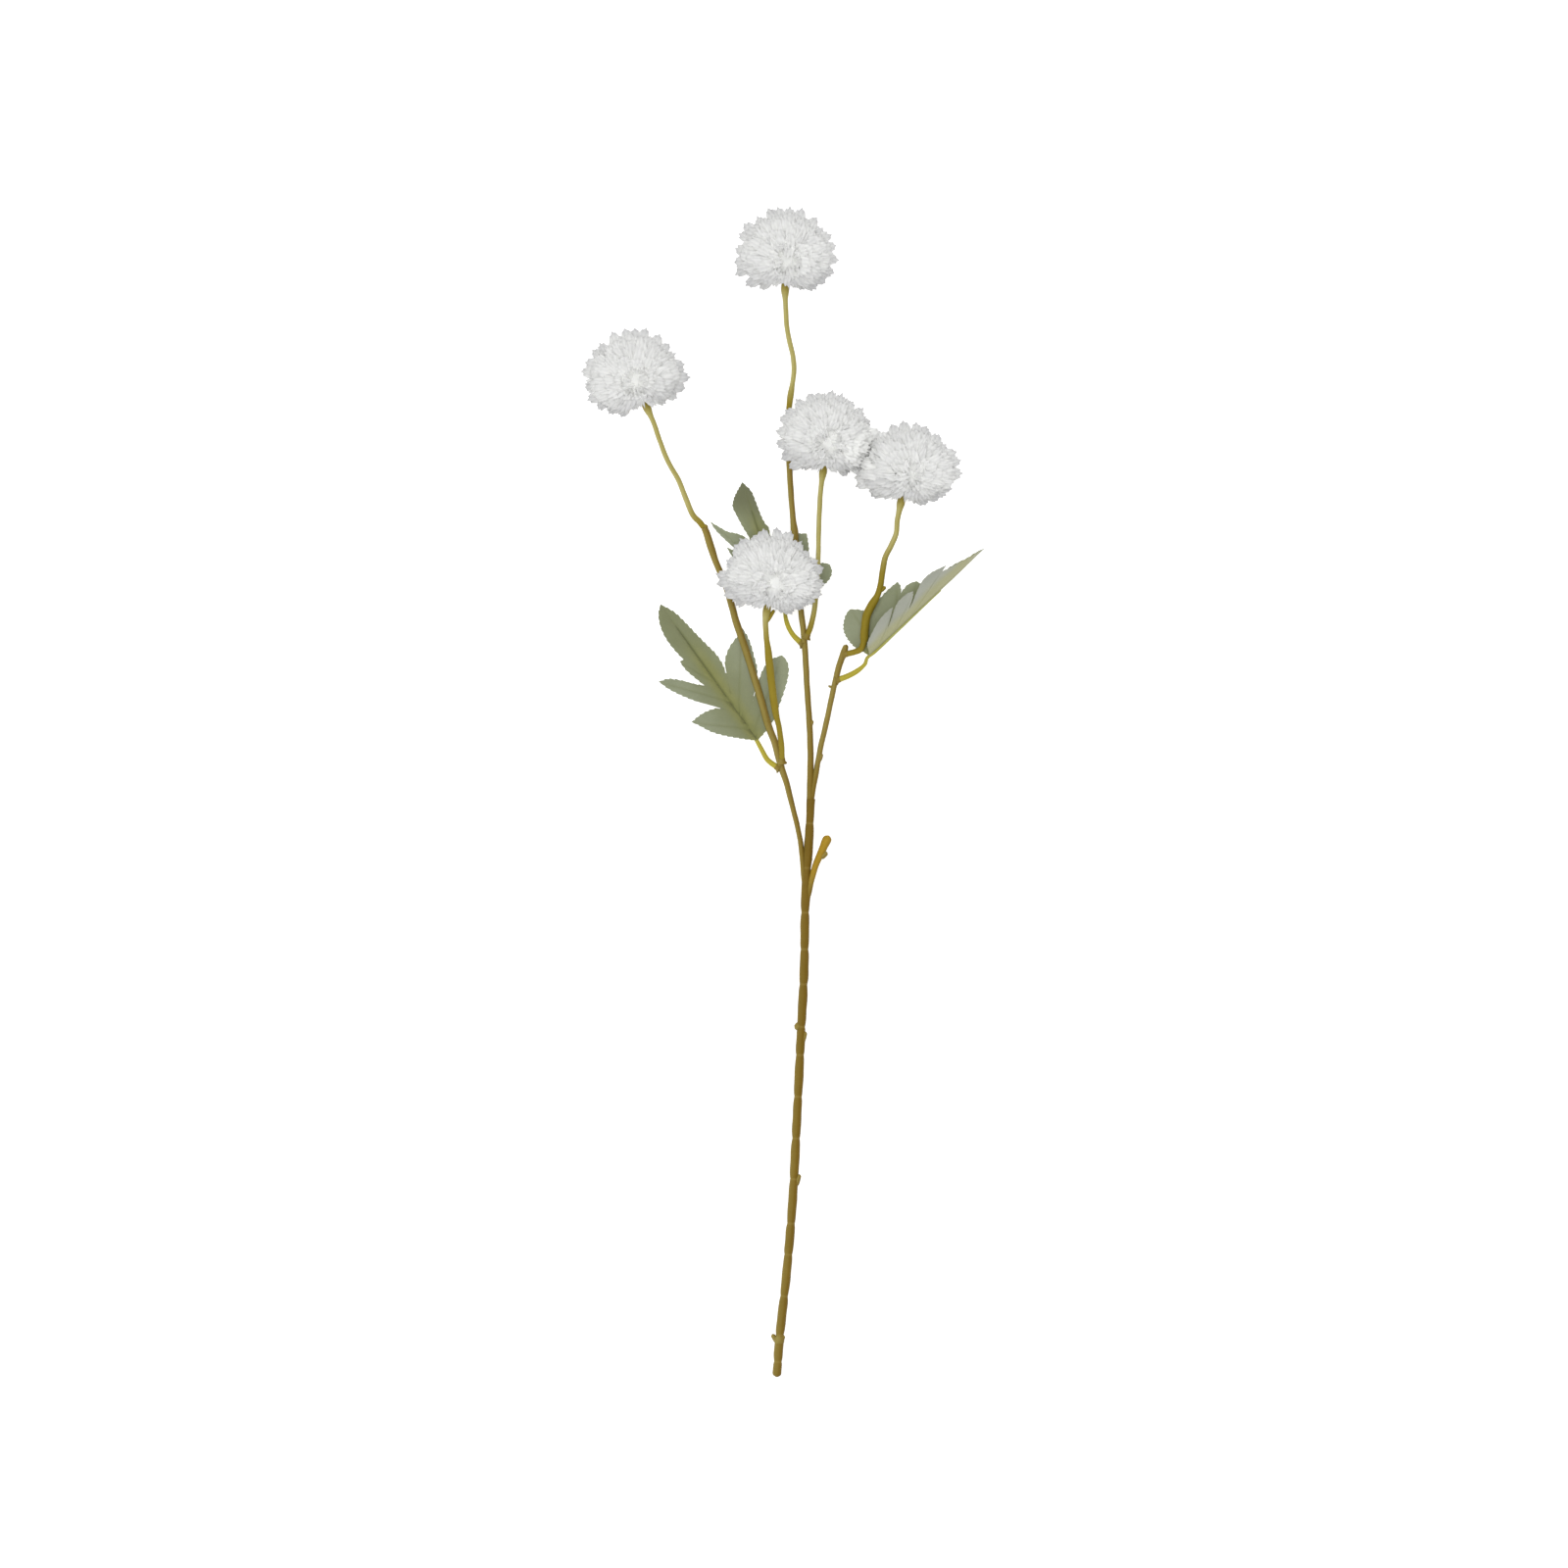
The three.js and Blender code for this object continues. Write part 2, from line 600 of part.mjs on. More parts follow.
// Adds a ring of petals to a bloom's surface: one sheet, parted from petal to petal, with its
// roots left open. It returns the loops of its roots on the upper and the lower face.
function addPetalRing(surface, ring, bloomParts) {
  const { middle, turn, random, plane } = bloomParts;
  const panel = petalPanel(ring.teeth);
  const start = Math.PI * random();
  const step = (2 * Math.PI) / ring.count;
  const flat = [];
  const corners = [];
  for (let petal = 0; petal <= ring.count; petal++) {
    flat.push(...panel.map(([across, out]) => [petal + across, out]));
    if (petal === ring.count) break;
    const longest = bloomReach(degrees(ring.angle)) * (1 - LENGTH_SPREAD * Math.abs(random()));
    const lean = LEAN_SPREAD * random();
    const angles = panel.map(([across, out]) => {
      const own = Math.max(out, 0) * (lean + CUP * (0.25 - (2 * across - 1) ** 2));
      const polar = degrees(ring.angle + own + ring.curl * ((out + 1) ** 2 / 4 - 1));
      return { polar, around: start + (petal + across) * step };
    });
    const directions = angles.map(({ polar, around }) => headingOf(turn, polar, around));
    const reach = Math.min(...directions.map((along) => within(plane, middle, along, longest)));
    panel.forEach(([, out], i) => {
      const distance = out < 0 ? PETAL_ROOT : PETAL_PARTING + (reach - PETAL_PARTING) * out;
      const point = middle.clone().addScaledVector(directions[i], distance);
      const upwards = headingOf(turn, angles[i].polar - Math.PI / 2, angles[i].around);
      corners.push({ point, offset: upwards.multiplyScalar(PETAL_THICKNESS / 2) });
    });
  }
  const faces = [];
  for (let petal = 0; petal < ring.count; petal++) {
    const own = panel.map((_, i) => petal * panel.length + i);
    const next = (petal + 1) * panel.length;
    faces.push(...facesOf([...own.slice(1), next + 1, next, own[0]], flat));
  }
  const wrapped = faces.map((face) => face.map((i) => i % corners.length));
  const isRoot = (i) => i % panel.length === 0;
  const { upper, lower } = addSheet(surface, corners, wrapped, (a, b) => isRoot(a) && isRoot(b));
  const loop = (first) =>
    Array.from({ length: ring.count }, (_, i) => ({
      corner: first + i * panel.length,
      around: start + i * step,
    }));
  return { upper: loop(upper), lower: loop(lower) };
}

// Fills the band of core between two loops of roots, or between a loop and a pole.
function addBand(surface, above, below) {
  const full = 2 * Math.PI;
  const shift = (from, to) => full * Math.round((from - to) / full);
  const nearest = below.reduce((best, { around }, i) => {
    const apart = Math.abs(around + shift(above[0].around, around) - above[0].around);
    return apart < best.apart ? { i, apart } : best;
  }, { i: 0, apart: Infinity });
  const turned = shift(above[0].around, below[nearest.i].around);
  const at = (loop, i, first = 0) => loop[(first + i) % loop.length];
  const angle = (loop, i, first = 0) =>
    loop[first].around + (i * full) / loop.length + (loop === below ? turned : 0);
  const steps = (loop) => (loop.length > 1 ? loop.length : 0);
  let [i, j] = [0, 0];
  while (i < steps(above) || j < steps(below)) {
    const a = at(above, i).corner;
    const b = at(below, j, nearest.i).corner;
    const aboveIsNext = angle(above, i + 1) < angle(below, j + 1, nearest.i);
    if (j >= steps(below) || (i < steps(above) && aboveIsNext)) {
      surface.index.push(a, at(above, i + 1).corner, b);
      i += 1;
    } else {
      surface.index.push(at(below, j + 1, nearest.i).corner, b, a);
      j += 1;
    }
  }
}

// A bloom: rings of petals that stand out of a smaller core, with a seat for the stalk
function bloom(design, seat, plane) {
  const middle = vector(design.middle);
  const turn = new THREE.Quaternion().setFromUnitVectors(
    new THREE.Vector3(0, 1, 0),
    vector(design.axis).normalize(),
  );
  const parts = { middle, turn, random: randomFrom(design.seed), plane };
  const surface = { points: [], index: [] };
  const pole = (polar) => {
    const point = headingOf(turn, polar, 0).multiplyScalar(POLE_SHARE * PETAL_ROOT).add(middle);
    surface.points.push(point);
    return [{ corner: surface.points.length - 1, around: 0 }];
  };
  let above = pole(0);
  for (const ring of PETAL_RINGS) {
    const { upper, lower } = addPetalRing(surface, ring, parts);
    addBand(surface, above, upper);
    above = lower;
  }
  addBand(surface, above, pole(Math.PI));
  return biggest(rested(closed(surface).subtract(seat)));
}

// The plane that two pressed blooms share, seen from the first of them
function pressPlane([first, second]) {
  const a = vector(BLOOMS[first].middle);
  const b = vector(BLOOMS[second].middle);
  const normal = b.clone().sub(a).normalize().addScaledVector(UP, PRESS_LEAN).normalize();
  return new THREE.Plane().setFromNormalAndCoplanarPoint(normal, a.add(b).multiplyScalar(0.5));
}

// A flower stalk's route ends inside its bloom, on the bloom's axis.
function flowerStalkRoute({ middle, axis, stalk }) {
  const end = vector(middle).addScaledVector(vector(axis).normalize(), -STALK_END);
  return [...stalk, end.toArray()];
}

const group = new THREE.Group();

const trunk = stem(TRUNK, trunkRadii(), STEM_SIDES);
const branches = [
  stem(LEFT_BRANCH, LEFT_RADII, STEM_SIDES),
  stem(CENTRE_BRANCH, CENTRE_RADII, STEM_SIDES),
  stem(RIGHT_BRANCH, RIGHT_RADII, STEM_SIDES),
  stem(CUT_STUB, STUB_RADII, STEM_SIDES),
];
const bosses = [...BLOOMS, ...LEAVES]
  .filter((design) => design.boss)
  .map((design) => boss(design.stalk, design.boss));
const mainStem = rested(join([trunk, ...branches, ...bosses, ...NUBS.map(nub)]));
group.add(meshOf("main_stem", mainStem, stemMaterial));

const plane = pressPlane(PRESSED);
const planes = new Map([
  [PRESSED[0], plane],
  [PRESSED[1], plane.clone().negate()],
]);
BLOOMS.forEach((design, i) => {
  const route = flowerStalkRoute(design);
  const seat = stem(route, design.radii, STALK_SIDES, GAP);
  group.add(meshOf(`flower_stalk_${i + 1}`, stem(route, design.radii, STALK_SIDES), stalkMaterial));
  group.add(meshOf(`bloom_${i + 1}`, bloom(design, seat, planes.get(i)), petalMaterial));
});

LEAVES.forEach((design, i) => {
  const stalk = stem(leafStalkRoute(design), LEAF_STALK_RADII, STALK_SIDES);
  group.add(meshOf(`leaf_stalk_${i + 1}`, stalk, leafStalkMaterial));
  group.add(meshOf(`leaf_${i + 1}`, leaf(design), leafMaterial));
});

// The origin is on the surface, under the middle of the whole spray.
const box = new THREE.Box3().setFromObject(group);
group.position.set(-(box.min.x + box.max.x) / 2, -(box.min.y + box.max.y) / 2, -box.min.z);

export default group;
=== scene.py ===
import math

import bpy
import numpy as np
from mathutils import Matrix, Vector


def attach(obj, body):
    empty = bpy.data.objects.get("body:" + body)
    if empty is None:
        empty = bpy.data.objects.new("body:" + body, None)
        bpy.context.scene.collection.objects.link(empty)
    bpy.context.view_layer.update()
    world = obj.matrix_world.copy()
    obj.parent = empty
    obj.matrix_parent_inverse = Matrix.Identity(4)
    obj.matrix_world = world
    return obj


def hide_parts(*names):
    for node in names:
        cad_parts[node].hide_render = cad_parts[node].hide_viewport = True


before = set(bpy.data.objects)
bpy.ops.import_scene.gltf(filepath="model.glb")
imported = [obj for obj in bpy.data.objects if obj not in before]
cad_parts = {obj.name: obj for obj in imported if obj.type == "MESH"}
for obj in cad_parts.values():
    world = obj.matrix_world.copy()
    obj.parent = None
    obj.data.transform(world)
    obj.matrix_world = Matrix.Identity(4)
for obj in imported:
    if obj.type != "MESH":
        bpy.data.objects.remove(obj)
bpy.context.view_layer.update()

# The looks of an artificial spray of white pompon chrysanthemum that lies on a pale surface.
# Sizes are in millimetres and angles in degrees, unless a comment says otherwise. Routes are in the
# frame in which they were drawn: the stem's cut end is near the origin and the stem runs along +Y.
# place() brings them into the part's frame.

MM = 0.001
# The point of the drawn frame that is the part's origin
DRAWN_ORIGIN = np.array([0.638, 300.004, 0.0])
UP = np.array([0.0, 0.0, 1.0])
SHARP_ANGLE = 72  # between two faces, past which their edge looks sharp
SPLINE_STEPS = 60  # from one point of a route to the next

# Stems
GAP = 0.35  # between a stalk's foot and its boss
FOOT_SINK = 1.2  # how far a stalk's foot is sunk in what it stands on
ROW_STEP = 0.6  # between two rings of a stem's skin
SKIN_SIDES = 16
ROUND_END = 0.985  # share of its radius past which the round end of a stem is flat
# How uneven a stem's skin is, in shares of its radius: slow swellings and fine ridges
SWELLING, RIDGE = 0.03, 0.02
SEED_STEP = 7.0  # how far along that pattern the next seed starts
PINCHED_RADIUS = 1.9  # of the trunk at a ring
SWOLLEN_RADIUS = 2.34  # and midway between two rings
RING_WIDTH = 0.9  # how far the pale line of a ring reaches along the trunk
TRUNK_GOLD = [[0, 0.2], [1, -0.25]]  # how golden the trunk is, against the share of its length
BOSS_GOLD, NUB_GOLD = 0.5, 0.8
STALK_END = 9  # how far below the middle of its bloom a stalk ends
CALYX_DEPTH = 16.5  # how far below the middle of its bloom a stalk is thickest
CALYX_RISE = 0.75  # how much its radius grows there
CALYX_WIDTH = 3.4  # how far off that growth has fallen to about a third
CALYX_BROWN = 0.7  # how brown a stalk is at its end, from 0 to 1
CALYX_BROWN_FROM = [12, 5]  # from a stalk's end, where that brown starts and where it is full

# Leaves
LEAF_LENGTH = 86
LEAF_THICKNESS = 0.34
EDGE_THINNING = 0.6  # share of its thickness that a leaf loses at the edge
TILT_REACH = 30  # how far from the rib a leaf reaches its second tilt
RIPPLE = 0.9  # how far the edge ripples up and down there
RIPPLE_LENGTH = 31
RIB_RADIUS = 0.8
RIB_ROUTE = [0.04, 0.2, 0.36, 0.5, 0.62]  # where the rib is fixed to the blade, in shares of the leaf
RIB_SINK = 0.15  # how far the rib is sunk in the blade's underside
VEIN_DIP = 0.35  # how far the blade dips at a vein
RIB_VEIN_WIDTH = 0.9
RIB_VEIN_END = [60, 84]  # along the rib, where its vein starts to fade and where it ends
LOBE_VEIN_WIDTH = 0.7
LOBE_VEIN_DEPTH = 0.45  # as a share of VEIN_DIP
EDGE_STEP = 0.55  # between two points of a leaf's edge
ACROSS_STEPS = 9  # from the rib to the edge
ACROSS_POWER = 0.9  # makes the steps near the edge a little finer
SERRATION_STEP = 3.3
SERRATION_DEPTH = 0.6
SERRATION_INSIDE = 0.6  # share of a tooth's depth that lies inside the drawn edge
EDGE_START = 0.6  # how far from the rib the edge starts at the base
# The yellow-green band along the rib: how far out it starts to fade and ends, and the share of the
# leaf past which it fades
BAND = [1.3, 6.5, 0.5]
ON_RIB = 1e-6  # so near the rib that it only tells the left half from the right

# Blooms
PETAL_ROOT = 5.0  # from a bloom's middle
PETAL_WIDTH = 6.0
PETAL_THICKNESS = 0.22
PETAL_ROWS = [0.0, 0.35, 0.62, 0.84, 1.0]  # shares of a petal's length
TOOTH_DEPTH = 1.6
TOOTH_STRAY = 0.7  # how far the teeth's points differ
TEETH = 3
PLEAT = 0.3  # how far a petal's pleats rise and fall
FLOOR_GAP = 0.05  # between the lowest petals and the surface under them
BLOOM_SIDE = 26.8  # the radius at which the petals of a ring are counted
# How far petals reach, against the angle of their tips from the bloom's axis
REACH = [[0, 25.3], [30, 25.7], [60, 26.4], [90, 26.8], [115, 25.3], [132, 23], [150, 18.5], [180, 18]]
# The ball inside a bloom: its radius, and the share of it that is lost on the stalk's side
CORE_RADIUS, CORE_TAPER = 18, 0.45
CORE_ROWS, CORE_SIDES = 18, 24
# The petals are ranged in rings round an eye, which looks up from the surface: the angle of each
# ring from it
EYE = [0.02, -0.12, 1.0]
RING_ANGLES = [
    4, 10, 17, 25, 34, 44, 53, 61, 69, 76, 82, 88, 94, 101, 108, 116, 125, 135, 146, 158, 170,
]
RING_STRAY = 4  # how far the angle of a tip strays from its ring's
TURN_STRAY = 0.22  # and its turn from its place in the ring, in shares of a place
RIM_ANGLE = 88  # the ring that stands out beyond the others, as the lobes of the outline
RIM_STRAY = 1.5
RIM_PITCH = 1.12  # how much wider apart its petals stand
RIM_RISE = 0.12  # how much more of the reach they have
RIM_WIDTH = 3.4  # how far from the rim that has fallen to about a third
# A dent in the outline of every bloom: its depth as a share of the reach, the angle from +X at which
# it lies, and its half width
DENT = [0.09, 40, 20]
# The angles from the axis between which a bloom's low side starts, and between which its droop does
LOW_SIDE = [85, 125]
DROOP_SIDE = [80, 105]
# Share of the reach that petals have, against the angle of their tips from the eye
FULLNESS = [[0, 0.93], [30, 0.97], [60, 0.97], [76, 0.9], [108, 0.9], [140, 0.95], [180, 0.95]]
FULLNESS_STRAY = 0.05  # how much more of it, at most, a petal has by chance
# How far a petal bends away from the eye on its way, against the angle of its tip
BEND = [
    [0, -45], [10, -35], [17, 0], [26, 28], [40, 40], [58, 52], [70, 40], [80, 20], [88, 8], [100, 0],
    [180, -4],
]
BEND_STRAY, CURL_STRAY, LEAN_STRAY = 5, 5, 8
# How far petals twist about their own length, and how much more where they are loose
TWIST, LOOSE_TWIST = 7, 26
WIDTH_STRAY = 0.1  # as a share of PETAL_WIDTH
CUP = [-0.5, -0.1]  # how far the sides of a petal hang, in half widths
STALK_CLEARANCE = 150  # from the axis, past which no petal stands
NOTCH_LEAN = 0.45  # how far the middle of the notch in the petals above the stalk leans up
PRESS_LEAN = 0.2  # how far the normal of the plane that pressed blooms share leans up
INTERLEAVED = 3.2  # how far, at most, the petals of two pressed blooms reach in between each other
GRAZING = 0.02  # the sine of the slope to that plane under which a petal never meets it

# Stage, in the part's frame
STEM_HEIGHT = 12  # the height at which the photograph's width is measured
PHOTO_WIDTH = 806.4  # what the photograph's width spans there
PHOTO_MIDDLE = [-0.25, 305.65, 0]  # the drawn point in the photograph's middle
CAMERA_LENS, CAMERA_SENSOR = 200.0, 36.0
CAMERA_SIGHT = 100000  # how far it sees
SKY_STRENGTH = 0.57
LAMP_AT = [-100, 150, 2200]
LAMP_AIM = [0, 50, 0]
LAMP_WIDTH = 900
LAMP_WATTS = 26
FLOOR_REACH = 30000  # from the floor's middle to its sides
FLOOR_DROP = 0.2  # how far the floor lies below the part

# The trunk's route
TRUNK = [
    [-4, 0, 2.5], [-2.5, 20.7, 2.6], [0.8, 50.9, 2.8], [4, 88.7, 3], [6.8, 141.6, 3.3],
    [8.6, 179.4, 3.5], [10.1, 209.7, 3.7], [10.6, 239.9, 3.9], [11.2, 255, 4.1], [12.5, 275, 4.6],
    [13.6, 298, 5],
]
# Where the trunk has a ring, as a length along it, and where the next one would be
RINGS = [8, 21.7, 42, 63.5, 79.5, 102.5, 123.5, 145, 166.5, 181, 203, 221, 240, 263, 286]
NEXT_RING = 400
# Each branch: its route, its radii as [share of its length, radius], and how amber its end is
# where it isn't plain
BRANCHES = [
    {
        "route": [
            [10.6, 250, 4], [8.3, 275.2, 4.3], [6.3, 285.3, 4.5], [3.8, 295.3, 4.7],
            [1, 306.4, 4.8], [-2, 315.5, 4.9], [-5, 327.1, 5], [-8.3, 335.7, 5.2],
            [-12.6, 350.8, 5.3], [-20.4, 376, 5.5], [-24.7, 388.6, 5.5], [-29.7, 406.2, 5.5],
            [-35.8, 421.3, 5.5], [-40.8, 436.5, 5.5], [-41.9, 438.3, 5.5],
        ],
        "radii": [[0, 1.37], [0.2, 1.37], [0.42, 1.87], [0.65, 1.87], [0.9, 1.67], [0.95, 1.92], [1, 1.67]],
    },
    {
        "route": [
            [12.8, 282, 4.8], [13.1, 295.3, 5], [13.4, 320.5, 5.3], [12.9, 335.7, 5.5],
            [11.6, 355.8, 5.7], [10.8, 370.9, 5.9], [9.6, 386.1, 6], [8.6, 393.6, 6],
            [7.1, 411.3, 6], [5.5, 431.4, 6], [4, 446.5, 6], [2.5, 469.2, 5.9],
            [2, 486.9, 5.9], [2.3, 499.2, 5.9],
        ],
        "radii": [[0, 1.67], [0.1, 1.77], [0.2, 1.57], [0.67, 1.55], [0.705, 2.05], [0.74, 1.5], [1, 1.5]],
    },
    {
        "route": [
            [13.2, 289, 4.9], [13.8, 297.9, 5], [16.1, 310.5, 5.2], [18.6, 324.6, 5.4],
            [21.2, 335.7, 5.5], [25.5, 355.8, 5.8], [27.7, 364.9, 5.9], [30, 372, 6],
            [32, 377.5, 6],
        ],
        "radii": [[0, 1.57], [0.4, 1.42], [0.75, 1.47], [0.95, 1.67], [1, 1.37]],
    },
    {
        "route": [
            [11.6, 246, 4], [12.5, 249.5, 4.5], [13.9, 256, 5.4], [16, 263.6, 6.3],
            [19.6, 272, 7.2], [22.8, 279.1, 7.8],
        ],
        "radii": [[0, 1.4], [0.45, 1.6], [0.8, 2], [0.92, 2.35], [1, 2.4]],
        "amber": 1.0,
    },
]
# A boss's radius, as [share of its length, radius]
BOSS_RADII = [[0, 2.55], [0.5, 1.65], [1, 1.65]]
# Small nubs left by trimmed twigs, as [x, y, z, heading from +X, length, radius]
NUBS = [
    [-2.9, 16.6, 2.6, 122, 6.6, 1.2], [-2.6, 16.6, 2.6, 66, 5.6, 1.2], [-3, 16.2, 2.9, 84, 5.6, 2.4],
    [5.9, 98.5, 3.2, 73, 6.4, 1.2], [8.4, 180.4, 3.8, 165, 3.5, 1.9], [9, 172, 3.8, 73, 6.4, 1.2],
    [12, 264.5, 4.6, 65, 4, 1.2], [18.5, 267.4, 7.2, 42, 4.8, 1.3], [12.9, 334.5, 5.7, 70, 4.4, 1],
    [17.6, 317, 5.5, 70, 4.8, 1.1], [25.2, 355.2, 5.9, 160, 3, 0.6],
    [-40.8, 436.2, 5.5, 84, 3.2, 1.1],
]
# A nub's radius in shares of its own, as [share of its length, share]
NUB_SHAPE = [[0, 1], [0.5, 1.1], [0.85, 1], [1, 0.75]]

# Each bloom: the middle, where its petals spread from, and its axis. The route of its stalk, with
# radii as [share of its length, radius], and the length of the boss that the stalk stands on where
# no branch ends there. The share of the stalk up to which it is brown, and its nub, as in NUBS, if
# it has one. The seed of its random draws. How far round its middle the notch above the stalk
# reaches. Its droop, the share by which its petals reach further on the lower left and less far on
# the lower right.
BLOOMS = [
    {
        "middle": [-76.6, 513.6, 25],
        "axis": [-0.32, 0.95, 0.22],
        "stalk": [
            [-42.4, 438.9, 5.6], [-43.7, 440.6, 5.8], [-46.8, 443.6, 6.5], [-50.4, 451.6, 8.2],
            [-54.4, 461.7, 10.6], [-60, 471.7, 13.6], [-64, 481.8, 16.8], [-67.5, 491.9, 20],
        ],
        "radii": [[0, 1.52], [0.5, 1.27], [1, 1.32]],
        "seed": 11,
        "notch": 19,
        "droop": -0.04,
        "brown": 0.1,
    },
    {
        "middle": [0.7, 575.6, 24.6],
        "axis": [0.08, 0.97, 0.2],
        "stalk": [
            [2.35, 499.8, 5.95], [3.3, 507, 7], [4.8, 517.1, 9.6], [4.5, 524.7, 12],
            [2.8, 532.2, 14.6], [1.3, 539.8, 17.2], [0.7, 548.4, 20],
        ],
        "radii": [[0, 1.47], [0.1, 1.67], [0.2, 1.27], [1, 1.32]],
        "seed": 23,
        "notch": 19,
        "droop": 0.03,
        "brown": 0.12,
    },
    {
        "middle": [21.7, 481.8, 24.7],
        "axis": [0.09, 0.97, 0.2],
        "boss": 3,
        "stalk": [
            [12.1, 383.2, 7.4], [13.4, 386.6, 8.1], [14.9, 392.6, 8.8], [16.1, 401.2, 9.4],
            [17, 411.3, 10.2], [17.4, 423.9, 11.8], [17.6, 436.5, 14.4], [18.1, 449.1, 17.6],
            [18.7, 457.6, 20],
        ],
        "radii": [[0, 1.47], [0.3, 1.22], [1, 1.32]],
        "seed": 37,
        "notch": 19,
        "droop": -0.03,
        "brown": 0.12,
    },
    {
        "middle": [-5.5, 410.3, 32.6],
        "axis": [0.23, 0.96, 0.14],
        "boss": 3,
        "stalk": [
            [-1.3, 319.2, 7.2], [-1.6, 325.6, 9.4], [-2.8, 334.7, 12.4], [-4.5, 342.2, 15],
            [-5.8, 350.8, 17.8], [-7.3, 363.4, 21.6], [-8.3, 373, 24.4], [-9.5, 383.5, 27.4],
            [-9.6, 391, 29.4],
        ],
        "radii": [[0, 1.47], [0.22, 1.42], [0.34, 1.97], [0.62, 1.97], [0.74, 1.47], [1, 1.37]],
        "seed": 41,
        "notch": 19,
        "droop": 0.1,
        "brown": 0.8,
        "nub": [-9.1, 388.6, 28.6, 58, 7.5, 0.95],
    },
    {
        "middle": [63.9, 465.7, 24.6],
        "axis": [0.28, 0.95, 0.12],
        "boss": 2.6,
        "stalk": [
            [32.8, 372.9, 6.4], [36, 373.6, 7], [39.2, 375, 8], [40.8, 378.9, 9.4],
            [41.3, 385.1, 11], [42.3, 392.1, 12.6], [44.6, 397.2, 13.8], [47.6, 402.2, 15],
            [49.4, 408.2, 16.2], [50.4, 415.3, 17.5], [51.9, 422.4, 18.6], [54.9, 428.4, 19.6],
            [57.2, 433.9, 20.5], [58, 441.5, 21.9],
        ],
        "radii": [
            [0, 1.47], [0.12, 1.57], [0.16, 2.17], [0.34, 2.22], [0.42, 1.57], [0.85, 1.37], [1, 1.32],
        ],
        "seed": 59,
        "notch": 10,
        "droop": 0.18,
        "brown": 0.6,
        "nub": [49.2, 404.6, 15.6, 42, 3.8, 0.95],
    },
]
PRESSED = (3, 5)  # the numbers of the blooms that press on each other

